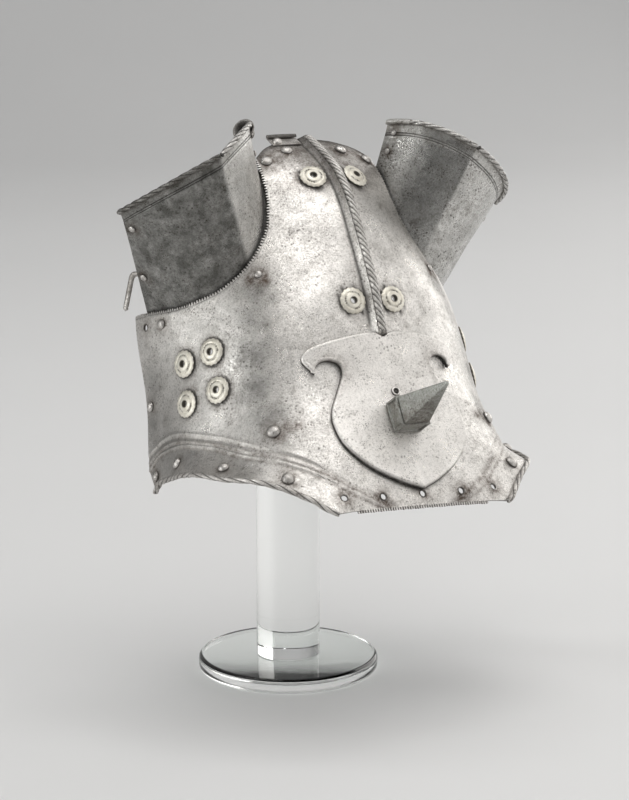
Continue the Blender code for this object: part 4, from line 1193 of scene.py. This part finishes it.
def guard_grid(way):
    """Columns round the guard, and for each point how far round, its depth and its marks."""
    columns, marks = [], []
    for i in range(GUARD_STEPS + 1):
        across = i / GUARD_STEPS
        foot, rim = guard_foot(across), guard_rim_point(across, way)
        length = (rim - foot).length
        ups, distances = guard_rows(length)
        normal, _ = guard_wall_normal(across, 1.0, way)
        column = []
        for up, distance in zip(ups, distances):
            cut = sum(math.exp(-((distance - line) / 0.00042)**2) for line in INCISED)
            shift = guard_flare(distance) - 0.00042 * cut
            column.append(foot.lerp(rim, max(up, 0.0)) + normal * shift)
            low = math.exp(-((length - distance) / 0.0016)**2)
            marks.append((across, distance, min(1.0, cut + low)))
        hem = guard_hem_point(across)
        for t in (0.15, 0.5, 1.0):
            column.append(foot.lerp(hem, t))
            marks.append((across, length, 2.0))
        columns.append([tuple(p) for p in column])
    return np.array(columns), np.array(marks).reshape(GUARD_STEPS + 1, -1, 3)


def guard_marks(flat, here, way):
    """Stains round the rivets and at the rim; painted shade in the incised lines, at the wall's
    foot, under the rope and on the hem; and one flank painted darker for the dim surroundings it
    would reflect.
    """
    own = [RIVET_PLACES[key][0] * side_mirror(way) for key in GUARD_RIVETS]
    stain_and_shade = 0.85 * near(flat, own, 0.0060) + 0.45 * bell(here[:, 1], 0.004)
    # Painted shade in the incised lines, at the foot and just under the rope.
    dark = np.clip(0.85 * here[:, 2], 0, 1) + 0.6 * bell(here[:, 1], 0.0014)
    outer = np.clip((here[:, 0] - 0.497) / 0.006, 0, 1)
    # Painted shade: the flank that would reflect dim surroundings is darker, and the right
    # guard's inner face keeps a lighter painted highlight band.
    if way < 0:
        tone = 0.74 * outer
    else:
        tone = 0.50 * (1 - outer) * (1.0 - 0.9 * bell(here[:, 0] - 0.17, 0.06)) + 0.12 * outer
    return sheet_marks(stain_and_shade, dark, np.where(here[:, 2] > 1.5, 1.0, tone), 0.6)


def build_guards(materials):
    for name, way in SIDES.items():
        grid, here = guard_grid(way)
        grid = grid * np.array([way, 1, 1])
        normals = grid_normals(grid)
        outward = guard_wall_normal(0.3, 0.6, way)[0] * side_mirror(way)
        if Vector(normals[30, 20]).dot(outward) < 0:
            grid, here = grid[::-1], here[::-1]
            normals = grid_normals(grid)
        flat = grid.reshape(-1, 3)
        shift = (rough_shift(flat, 0.030, 0.0005, 1.9 + way)
                 + rough_shift(flat, 0.011, 0.00014, 5.1 + way))
        grid = grid + normals * shift.reshape(grid.shape[:2])[:, :, None]
        points, faces = thick_grid(grid, grid_normals(grid), GUARD_THICKNESS)
        make_piece(f"ear_guard_{name}_sheet", points, faces, materials[name], "plate_steel",
                   [f"ear_guard_{name}"],
                   guard_marks(grid.reshape(-1, 3), here.reshape(-1, 3), way), sharp=22)


def build_guard_ropes(materials):
    """A rope along each guard's rim, in two lengths that meet at its ridge."""
    for name, way in SIDES.items():
        def centre(across):
            normal, upward = guard_wall_normal(across, 1.0, way)
            return (guard_rim_point(across, way)
                    + normal * (GUARD_ROPE_RADIUS * 0.55 + GUARD_FLARE)
                    + upward * GUARD_ROPE_RADIUS * 0.15)

        def side(across):
            return guard_wall_normal(across, 1.0, way)[0]

        points, faces, dark = [], [], []
        for low, high in ((GUARD_ROPE_START[name], 0.499), (0.501, 1.0)):
            path, ways = even_path(centre, low, high, ROPE_STEP, side)
            part, part_faces, part_dark = roped(path, ways, GUARD_ROPE_RADIUS, rope_radius(
                GUARD_ROPE_RADIUS, GUARD_ROPE_PITCH))
            base = len(points)
            faces += [tuple(base + i for i in face) for face in part_faces]
            points += part.tolist()
            dark.append(part_dark)
        marks = blank(points, stain_and_shade=0.25, dark=np.concatenate(dark))
        # Painted shade: the outer half of the left rope is darker, like the flank below it.
        if way < 0:
            marks["tone"][len(dark[0]):] = 0.75
        make_piece(f"ear_guard_{name}_rope", mirrored(points, way), mirrored_faces(faces, way),
                   materials[name], "plate_steel", [f"ear_guard_{name}"], marks, sharp=75)


def build_left_scroll(material):
    """The left rim's inner end, an open scroll, with painted shade in its hollow."""
    middle = guard_rim_point(0.0, -1.0) * side_mirror(-1) + SCROLL_SHIFT
    points, faces = lathe([(radius * SCROLL_SIZE, height) for radius, height in SCROLL_PROFILE],
                          SCROLL_SIDES)
    marks = blank(points, stain_and_shade=0.35, tone=0.35)
    marks["dark"][:4 * SCROLL_SIDES] = 0.88
    marks["dark"][4 * SCROLL_SIDES:6 * SCROLL_SIDES] = 0.45
    make_piece("ear_guard_left_scroll", stood(points, middle, SCROLL_WAY.normalized()),
               mirrored_faces(faces, -1), material, "plate_steel", ["ear_guard_left"], marks,
               sharp=60)


def build_right_roll(material):
    """The right rim's inner end, a flat smooth roll."""
    columns = []
    for i in range(25):
        across = ROLL_REACH * i / 24
        normal, upward = guard_wall_normal(across, 1.0)
        centre = guard_rim_point(across) + normal * ROLL_RADIUS
        turns = [math.radians(9.0 * j) for j in range(29)]
        columns.append([tuple(centre - normal * ROLL_RADIUS * math.cos(turn)
                              + upward * ROLL_RADIUS * math.sin(turn)) for turn in turns])
    grid = np.array(columns)
    points, faces = thick_grid(grid, grid_normals(grid), 0.0009)
    make_piece("ear_guard_right_roll", points, faces, material, "plate_steel",
               ["ear_guard_right"], blank(points, stain_and_shade=0.2), sharp=50)


def shield_outline():
    """Round the shield's edge: half from the tables, and its mirror."""
    half = []
    for stretch in SHIELD_OUTLINE:
        table = [(index, *point) for index, point in enumerate(stretch)]
        count = (len(stretch) - 1) * 12
        half += [tuple(smooth_value(table, value, index / 12) for value in (1, 2))
                 for index in range(count)]
    half.append((0.0, 0.0))
    whole = half + [(-x, y) for x, y in reversed(half[1:-1])]
    return np.array([(x * SHIELD_HALF_WIDTH, y * SHIELD_HEIGHT) for x, y in whole])


def shield_point(x, height, lift):
    share = (SHIELD_FOOT + height) / FACE_LENGTH
    sweep = math.atan(abs(x) / half_width_at(share))
    for _ in range(5):
        error = face_point(sweep, share).x - abs(x)
        sweep -= error / half_width_at(share) * math.cos(sweep)**2
    crease = SHIELD_CREASE * (1.0 - abs(x) / SHIELD_HALF_WIDTH)
    point = (face_point(sweep, share)
             + face_normal(sweep, share) * (SHIELD_GAP + lift + crease * lift / SHIELD_THICKNESS))
    return (math.copysign(point.x, x) if x else 0.0, point.y, point.z)


def even_outline(outline, step):
    closed = np.concatenate([outline, outline[:1]])
    lengths = np.concatenate([[0], np.cumsum(np.linalg.norm(np.diff(closed, axis=0), axis=1))])
    count = int(lengths[-1] / step)
    walked = np.linspace(0, lengths[-1], count, endpoint=False)
    return np.stack([np.interp(walked, lengths, closed[:, 0]),
                     np.interp(walked, lengths, closed[:, 1])], -1)


def inward_ways(outline):
    ahead, behind = np.roll(outline, -1, 0), np.roll(outline, 1, 0)
    along = ahead - behind
    inward = np.stack([along[:, 1], -along[:, 0]], -1)
    inward /= np.linalg.norm(inward, axis=1, keepdims=True)
    area = 0.5 * np.sum(outline[:, 0] * ahead[:, 1] - ahead[:, 0] * outline[:, 1])
    return -inward if area > 0 else inward


def shield_cells(ring):
    """Triangles over the inside of a ring, with the ring's own corners first."""
    seeds = []
    for i in range(-34, 35):
        for j in range(66):
            spot = np.array([i, j]) * SHIELD_GRID_STEP
            if np.min(((ring - spot)**2).sum(1)) > (SHIELD_GRID_STEP * 0.6)**2:
                seeds.append(Vector(spot))
    corners, _, cells, _, _, _ = geometry.delaunay_2d_cdt(
        [Vector(spot) for spot in ring] + seeds, [], [list(range(len(ring)))], 1, 1e-7)
    return corners, cells


def shield_mesh():
    outline = even_outline(shield_outline(), SHIELD_OUTLINE_STEP)
    inward = inward_ways(outline)
    points, rings, faces = [], [], []
    for offset, share, _ in SHIELD_RIM:
        ring = outline + inward * offset
        rings.append(list(range(len(points), len(points) + len(ring))))
        points += [shield_point(x, y, SHIELD_THICKNESS * share) for x, y in ring]
    for low, high in zip(rings, rings[1:]):
        for k in range(len(low)):
            j = (k + 1) % len(low)
            faces.append((low[k], low[j], high[j], high[k]))
    corners, cells = shield_cells(ring)
    field = corners[len(ring):]
    for rim, lift, order in ((rings[-1], SHIELD_THICKNESS, 1), (rings[0], 0.0, -1)):
        ids = rim + list(range(len(points), len(points) + len(field)))
        points += [shield_point(corner.x, corner.y, lift) for corner in field]
        faces += [tuple(ids[i] for i in cell)[::order] for cell in cells]
    return np.array(points), faces, rings


def build_shield(material):
    points, faces, rings = shield_mesh()
    hooks = [shield_point(x * SHIELD_HALF_WIDTH, 0.80 * SHIELD_HEIGHT, 0.002)
             for x in (-0.70, 0.70)]
    stain_and_shade = 0.25 * near(points, [pin_place()[0]], 0.007) + 0.8 * near(points, hooks, 0.012)
    # Painted shade: the right half of the shield is darker, standing in for the light on its
    # crease.
    marks = blank(points, stain_and_shade=np.clip(stain_and_shade, 0, 1), tone=0.12 * (points[:, 0] > 0.0002))
    # Painted shade with dark patina on the rim's side wall.
    for ring, (_, _, dark) in zip(rings, SHIELD_RIM):
        marks["dark"][ring] = dark
    shield = make_piece("escutcheon_plate", points, faces, material, "plate_steel",
                        ["escutcheon"], marks, sharp=60)
    tidy = bmesh.new()
    tidy.from_mesh(shield.data)
    bmesh.ops.recalc_face_normals(tidy, faces=tidy.faces)
    tidy.to_mesh(shield.data)
    tidy.free()


def pin_place():
    place = face_point(0.0, (SPIKE_HEIGHT_ON_FACE + PIN_HOLE_ABOVE_SPIKE) / FACE_LENGTH)
    return place + FACE_OUT * (SHIELD_GAP + SHIELD_THICKNESS + SHIELD_CREASE), FACE_OUT


def random_way(rand):
    return Vector((rand.uniform(-1, 1), rand.uniform(-1, 1), rand.uniform(-1, 1)))


def rosette_profile():
    """From the foot of the hole over the dome to the foot of the rim."""
    radii = ([ROSETTE_HOLE - 0.0001] * 2 + [ROSETTE_HOLE, ROSETTE_HOLE + 0.0003, 0.0034]
             + [0.0034 + 0.0058 * i / 18 for i in range(1, 19)]
             + [0.0096, 0.0100, 0.0103, ROSETTE_RADIUS])
    dome = [(radius, CONTACT_GAP + 0.0008 + 0.0024 * max(0.0, 1 - (radius / 0.0112)**2.4))
            for radius in radii]
    dome[0] = (radii[0], CONTACT_GAP)
    dome[1] = (radii[1], dome[1][1] - 0.0003)
    return dome + [(ROSETTE_RADIUS, CONTACT_GAP + 0.0005), (ROSETTE_RADIUS * 0.96, CONTACT_GAP)]


def build_rosette(node, place, normal, rand, material):
    """A scalloped dome with a sunk ring of beads, worn away in places. The ring is dark with dirt
    and painted shade; painted shade also darkens the rim's side wall and the edge of the hole.
    """
    teeth = rand.choice((15, 16, 17))
    start = rand.uniform(0, 1)

    def scallop(turn, radius):
        rim = max(0.0, (radius - 0.0088) / (ROSETTE_RADIUS - 0.0088))
        return 1.0 - 0.055 * rim * abs(math.sin(teeth * turn / 2 + start))**3

    points, faces = lathe(rosette_profile(), ROSETTE_SIDES, scallop)
    radius = np.linalg.norm(points[:, :2], axis=1)
    turn = np.arctan2(points[:, 1], points[:, 0])
    ring = bell(radius - ROSETTE_RING, 0.00075)
    beads = 0.5 + 0.5 * np.cos(turn * (teeth + 8) + start)
    broken = np.clip(np.sin(turn * 3 + rand.uniform(0, 6)) + 0.75, 0, 1)
    points[:, 2] -= ring * (0.00035 + 0.0003 * beads)
    # Dirt and painted shade in the sunk ring, and painted shade towards the rim.
    dark = 1.3 * ring * (0.45 + 0.55 * beads) * broken
    dark += 0.25 * np.clip((radius - 0.0094) / 0.0008, 0, 1)
    # Painted shade on the rim's undercut side wall and round the hole, carried by the stain
    # marks.
    shaded_side_wall = (points[:, 2] < CONTACT_GAP + 0.00085) & (radius > 0.0098)
    stain_and_shade = 0.95 * shaded_side_wall + 0.9 * bell(radius - ROSETTE_HOLE, 0.00040)
    tilt = random_way(rand) * 0.03
    points = stood(points, place, normal + tilt, rand.uniform(0, 6))
    make_piece(f"{node}_dome", points, faces, material, "rosette_metal", [node],
               blank(points, np.clip(stain_and_shade, 0, 1), np.clip(dark, 0, 1)), sharp=55)


def build_rosettes(material):
    for index, (key, spot) in enumerate(ROSETTES.items()):
        for name, way in SIDES.items():
            rand = random.Random(index * 7 + (3 if way > 0 else 0))
            build_rosette(f"rosette_{key}_{name}", *face_place(*spot, way), rand, material)


def rivet_mesh(radius, height):
    """A round head with its shank."""
    profile = [(AXIS_RADIUS, height)]
    for i in range(1, 13):
        angle = math.radians(90.0 * i / 12)
        profile.append((radius * math.sin(angle)**0.92, height * math.cos(angle)))
    profile += [(radius * 0.97, -0.0003), (SHANK_RADIUS, -0.0003), (SHANK_RADIUS, SHANK_END),
                (AXIS_RADIUS, SHANK_END)]
    return lathe([(r, z + CONTACT_GAP) for r, z in profile], 40)


def build_rivets(material):
    rand = random.Random(11)
    for name, way in SIDES.items():
        mirror = side_mirror(way)
        for key, (place, normal) in RIVET_PLACES.items():
            points, faces = rivet_mesh(*RIVET_SIZES[key])
            points = points * np.array([1 + rand.uniform(-0.06, 0.06), 1, 1])
            # Painted shade round the foot of each head.
            foot = points[:, 2] < CONTACT_GAP + 0.0006
            way_out = normal * mirror + random_way(rand) * 0.05
            make_piece(f"rivet_{key}_{name}_head", stood(points, place * mirror, way_out),
                       faces, material, "rivet_steel", [f"rivet_{key}_{name}"],
                       blank(points, stain_and_shade=0.25, dark=0.7 * foot), sharp=60)


def face_turn():
    side = FACE_UP.cross(FACE_OUT)
    return Matrix((side, FACE_UP, FACE_OUT)).transposed().to_4x4()


def bevelled(name, points, matrix, width, material, node, stain_and_shade, tone, shape=None,
             low_stain=None):
    """A box from eight points with rounded edges."""
    work = bmesh.new()
    corners = [work.verts.new(p) for p in points]
    for face in BOX_FACES:
        work.faces.new([corners[i] for i in face])
    bmesh.ops.recalc_face_normals(work, faces=work.faces)
    if shape:
        shape(work)
    sharp = [edge for edge in work.edges if edge.calc_face_angle(0.0) > math.radians(20)]
    bmesh.ops.bevel(work, geom=sharp, offset=width, segments=3, profile=0.6,
                    affect="EDGES", clamp_overlap=True)
    bmesh.ops.triangulate(work, faces=[f for f in work.faces if len(f.verts) > 4])
    work.verts.ensure_lookup_table()
    low = np.array([v.co.y < -0.25 * SPIKE_WIDTH for v in work.verts])
    coordinates = [tuple(matrix @ v.co) for v in work.verts]
    lists = [[v.index for v in f.verts] for f in work.faces]
    work.free()
    stains = np.where(low, stain_and_shade if low_stain is None else low_stain, stain_and_shade)
    make_piece(name, coordinates, lists, material, "plate_steel", [node],
               blank(coordinates, stain_and_shade=stains, tone=tone), sharp=45)


BOX_FACES = ((3, 2, 1, 0), (4, 5, 6, 7), (0, 1, 5, 4), (1, 2, 6, 5), (2, 3, 7, 6), (3, 0, 4, 7))


def box_points(low_half, high_half, low, high):
    return [(x * half, y * half, z) for half, z in ((low_half, low), (high_half, high))
            for x, y in ((-1, -1), (1, -1), (1, 1), (-1, 1))]


def socket_panels(work):
    """Sinks a raised panel into each side of the socket."""
    sides = [f for f in work.faces if abs(f.normal.z) < 0.5]
    for thickness, depth in ((0.0022, 0.0), (0.0007, -0.0011), (0.0013, 0.0), (0.0005, 0.0006)):
        bmesh.ops.inset_individual(work, faces=sides, thickness=thickness, depth=depth)


def build_spike(material):
    foot = face_point(0.0, SPIKE_HEIGHT_ON_FACE / FACE_LENGTH)
    matrix = Matrix.Translation(foot) @ face_turn()
    half = SPIKE_WIDTH / 2
    start = SOCKET_TOP + CONTACT_GAP
    bevelled("spike_socket_block", box_points(half, half, SOCKET_FOOT, SOCKET_TOP), matrix,
             0.0005, material, "spike_socket", 0.35, 0.30, socket_panels)
    bevelled("spike_blade", box_points(half - SPIKE_ROOT_INSET, SPIKE_TIP_HALF, start,
                                       start + SPIKE_LENGTH),
             matrix, 0.0009, material, "spike", 0.10, 0.05, low_stain=0.75)


def build_pin_hole(material):
    """A raised ring above the spike, with painted shade at its foot and on its inner wall, round
    a flat black disc that is painted shade for the hole.
    """
    place, way = pin_place()
    points, faces = lathe([(0.0022, 0.0002), (0.0022, 0.0010), (0.0026, 0.0013),
                           (0.0032, 0.0012), (0.0036, 0.0006), (0.0038, -0.0010)], 40)
    marks = blank(points, stain_and_shade=0.15)
    # Painted shade at the ring's foot and on its inner wall.
    marks["dark"][-80:] = 0.8
    marks["dark"][:80] = 0.7
    make_piece("escutcheon_pin_ring", stood(points, place, way), faces, material,
               "plate_steel", ["escutcheon"], marks, sharp=60)
    # A flat disc painted black stands for the hole's shaded inside.
    points, faces = lathe([(AXIS_RADIUS, 0.0005), (0.0023, 0.0005), (0.0023, 0.0)], 32)
    make_piece("escutcheon_pin_hole_shade_disc", stood(points, place, way), faces, material,
               "plate_steel", ["escutcheon"], blank(points, dark=1.0), sharp=60)


def leaf_place(across, back):
    """A place on the leaf, away from the middle and down from the plate's rear edge."""
    x = KEEL_HALF_WIDTH + LEAF_KEEL_GAP + across
    share = 1.0 - back / FACE_LENGTH
    sweep = math.atan(x / half_width_at(share))
    normal = face_normal(sweep, share)
    return face_point(sweep, share) + normal * (CONTACT_GAP + LEAF_LIFT), normal


def leaf_grid():
    """The leaf's outer face, with a knuckle rolled past the plate's edge."""
    columns = []
    for i in range(33):
        spots = [leaf_place(LEAF_WIDTH * i / 32, LEAF_DEPTH * (1.0 - 0.9 * j / 8))
                 for j in range(9)]
        column, normal = [place for place, _ in spots], spots[-1][1]
        heading = (column[-1] - column[-2]).normalized()
        column.append(column[-1] + heading * LEAF_OVERHANG)
        side = heading.cross(normal)
        turn_to = side.cross(heading).normalized()
        middle = column[-1] + turn_to * KNUCKLE_RADIUS
        for k in range(1, 15):
            angle = math.radians(270.0 * k / 14)
            column.append(middle - turn_to * KNUCKLE_RADIUS * math.cos(angle)
                          + heading * KNUCKLE_RADIUS * math.sin(angle))
        columns.append([(-p.x, p.y, p.z) for p in column])
    return np.array(columns)[::-1]


def build_leaf(material, rivet_material):
    grid = leaf_grid()
    normals = grid_normals(grid)
    if normals[16, 2, 2] < 0:
        grid = grid[::-1]
        normals = grid_normals(grid)
    points, faces = thick_grid(grid, normals, 0.0008)
    marks = blank(points, stain_and_shade=0.3)
    # Painted shade on the inner face and under the knuckle.
    marks["dark"][len(points) // 2:] = 0.8
    make_piece("poll_hinge_leaf_plate", points, faces, material, "plate_steel",
               ["poll_hinge_leaf"], marks, sharp=50)
    across, back = LEAF_RIVET
    place, normal = leaf_place(across, LEAF_DEPTH * back)
    mirror = side_mirror(-1)
    points, faces = rivet_mesh(0.0038, 0.0030)
    make_piece("rivet_poll_hinge_head", stood(points, place * mirror, normal * mirror), faces,
               rivet_material, "rivet_steel", ["rivet_poll_hinge"], blank(points, stain_and_shade=0.25))


def strap_path():
    """From behind the left guard's wall straight back, round a bend and down."""
    across, up = GUARD_RIVETS["guard_outer_low"]
    normal, upward = guard_wall_normal(across, up)
    inside = guard_wall_point(across, up) - normal * (GUARD_THICKNESS + STRAP_GAP
                                                      + STRAP_THICKNESS / 2)
    rearward = upward.cross(normal).normalized()
    start, before, bend = (inside + (rearward * back + upward * rise) * STRAP_LENGTH
                           for back, rise in STRAP_ROUTE)
    end = bend + STRAP_HANG * STRAP_LENGTH
    after = bend.lerp(end, STRAP_BEND_SHARE)

    def centre(t):
        if t < 1.0:
            point = start.lerp(before, t)
        elif t < 2.0:
            u = t - 1.0
            point = before * (1 - u)**2 + bend * 2 * u * (1 - u) + after * u**2
        else:
            point = after.lerp(end, t - 2.0)
        return point * side_mirror(-1)

    return even_path(centre, 0.0, 3.0, STRAP_STEP, lambda t: normal * side_mirror(-1))


def build_strap_end(material):
    path, ways = strap_path()
    total = STRAP_STEP * (len(path) - 1)

    def radius_at(turn, walked):
        flat = 1.0 / math.sqrt((math.cos(turn) / (STRAP_THICKNESS / 2 - 0.0002))**2
                               + (math.sin(turn) / (STRAP_WIDTH / 2))**2)
        end = min(walked, total - walked)
        rounding = math.sqrt(max(0.03, 1 - max(0.0, 1 - end / 0.0020)**2))
        ring = 1.0 - 0.22 * math.exp(-((total - walked - 0.0030) / 0.0004)**2)
        return flat * rounding * ring

    points, faces = swept(path, ways, radius_at, 20)
    make_piece("strap_end_bar", points, mirrored_faces(faces, -1), material, "rivet_steel",
               ["strap_end"], blank(points, stain_and_shade=0.4, tone=0.35), sharp=60)


def build_stand(material):
    top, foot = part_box("stand_post")[1].z, DISC_THICKNESS + CONTACT_GAP
    rod = [(AXIS_RADIUS, top), (POST_RADIUS - POST_BEVEL, top), (POST_RADIUS, top - POST_BEVEL),
           (POST_RADIUS, foot + POST_BEVEL), (POST_RADIUS - POST_BEVEL, foot),
           (AXIS_RADIUS, foot)]
    disc = [(AXIS_RADIUS, DISC_THICKNESS)]
    for i in range(21):
        angle = math.radians(9.0 * i)
        middle = DISC_THICKNESS - DISC_ROUNDING if i <= 10 else DISC_ROUNDING
        disc.append((DISC_RADIUS - DISC_ROUNDING + DISC_ROUNDING * math.sin(angle),
                     middle + DISC_ROUNDING * math.cos(angle)))
    disc.append((AXIS_RADIUS, 0.0))
    for name, node, profile, sides in (("stand_post_rod", "stand_post", rod, 128),
                                       ("stand_disc_plate", "stand_disc", disc, 160)):
        make_piece(name, *lathe(profile, sides), material, "clear_acrylic", [node],
                   lean=False, sharp=30)


def build_stage(material):
    """A floor that sweeps up into a far wall, square to the camera."""
    turn = Matrix.Rotation(math.radians(-31.0), 4, "Z")
    profile = [(-FLOOR_REACH, -FLOOR_DROP), (WALL_START, -FLOOR_DROP)]
    for i in range(1, 13):
        angle = math.radians(90.0 * i / 12)
        profile.append((WALL_START + WALL_ROUNDING * math.sin(angle),
                        WALL_ROUNDING - WALL_ROUNDING * math.cos(angle) - FLOOR_DROP))
    profile.append((WALL_START + WALL_ROUNDING, FLOOR_REACH - FLOOR_DROP))
    points = [tuple(turn @ Vector((x, y, z))) for x in (-FLOOR_REACH, FLOOR_REACH)
              for y, z in profile]
    count = len(profile)
    faces = [(i, i + 1, count + i + 1, count + i) for i in range(count - 1)]
    mesh = bpy.data.meshes.new("studio_sweep")
    mesh.from_pydata(points, [], faces)
    mesh.shade_smooth()
    mesh.materials.append(material)
    sweep = bpy.data.objects.new("studio_sweep", mesh)
    bpy.context.scene.collection.objects.link(sweep)


def area_light(name, place, target, size, power, colour):
    data = bpy.data.lights.new(name, "AREA")
    data.shape = "RECTANGLE"
    data.size, data.size_y = size
    data.energy = power
    data.color = colour
    item = bpy.data.objects.new(name, data)
    item.visible_camera = False
    item.location = place
    way = Vector(target) - Vector(place)
    item.rotation_euler = way.to_track_quat("-Z", "Y").to_euler()
    bpy.context.scene.collection.objects.link(item)


def build_world():
    """A soft studio: bright above on the right, dim low on the left."""
    world = bpy.data.worlds.new("studio")
    bpy.context.scene.world = world
    world.use_nodes = True
    tree = world.node_tree
    sky = tree.nodes["Background"]
    sky.inputs["Color"].default_value = (1.0, 0.995, 0.985, 1.0)
    place = tree.nodes.new("ShaderNodeTexCoord")
    facing = tree.nodes.new("ShaderNodeVectorMath")
    facing.operation = "DOT_PRODUCT"
    facing.inputs[1].default_value = BRIGHT_WAY
    span = tree.nodes.new("ShaderNodeMapRange")
    for index, value in enumerate((-0.7, 0.95, *SKY_RANGE), 1):
        span.inputs[index].default_value = value
    tree.links.new(place.outputs["Generated"], facing.inputs[0])
    tree.links.new(facing.outputs["Value"], span.inputs[0])
    tree.links.new(span.outputs[0], sky.inputs["Strength"])


def build_light():
    build_world()
    look = bpy.context.scene.view_settings
    look.view_transform = "Standard"
    look.exposure = EXPOSURE
    for light in LIGHTS:
        area_light(*light)


def build_camera():
    data = bpy.data.cameras.new("camera")
    data.lens = 155.0
    data.sensor_width = 36.0
    item = bpy.data.objects.new("camera", data)
    item.location = CAMERA_PLACE
    item.rotation_euler = Vector(CAMERA_WAY).to_track_quat("-Z", "Y").to_euler()
    bpy.context.scene.collection.objects.link(item)
    bpy.context.scene.camera = item


def main():
    face_steel = steel("plate_steel_worn", 0.90, 0.58, 0.35, 0.58, 0.55)
    guard_steel = {
        "left": steel("guard_steel_left", 0.84, 0.50, 0.34, 0.65, 0.60, (1.01, 1.0, 0.97)),
        "right": steel("guard_steel_right", 0.86, 0.52, 0.29, 0.90, 0.70, (1.01, 1.0, 0.97))}
    shield_steel = steel("shield_steel", 0.93, 0.76, 0.36, 0.60, 0.30)
    spike_steel = steel("spike_steel", 0.60, 0.42, 0.38, 0.45, 0.6, (0.97, 1.0, 0.95))
    rivet_steel = steel("rivet_steel_worn", 0.84, 0.56, 0.26, 0.45, 0.45)
    build_plate(face_steel)
    build_keel(face_steel)
    build_hole_rims(face_steel)
    build_flange_ropes(face_steel)
    build_teeth(face_steel)
    build_guards(guard_steel)
    build_guard_ropes(guard_steel)
    build_left_scroll(guard_steel["left"])
    build_right_roll(guard_steel["right"])
    build_shield(shield_steel)
    build_rosettes(pale_metal())
    build_rivets(rivet_steel)
    build_spike(spike_steel)
    build_pin_hole(shield_steel)
    build_leaf(face_steel, rivet_steel)
    build_strap_end(rivet_steel)
    build_stand(clear_plastic())
    build_stage(studio_paper())
    build_light()
    build_camera()


main()
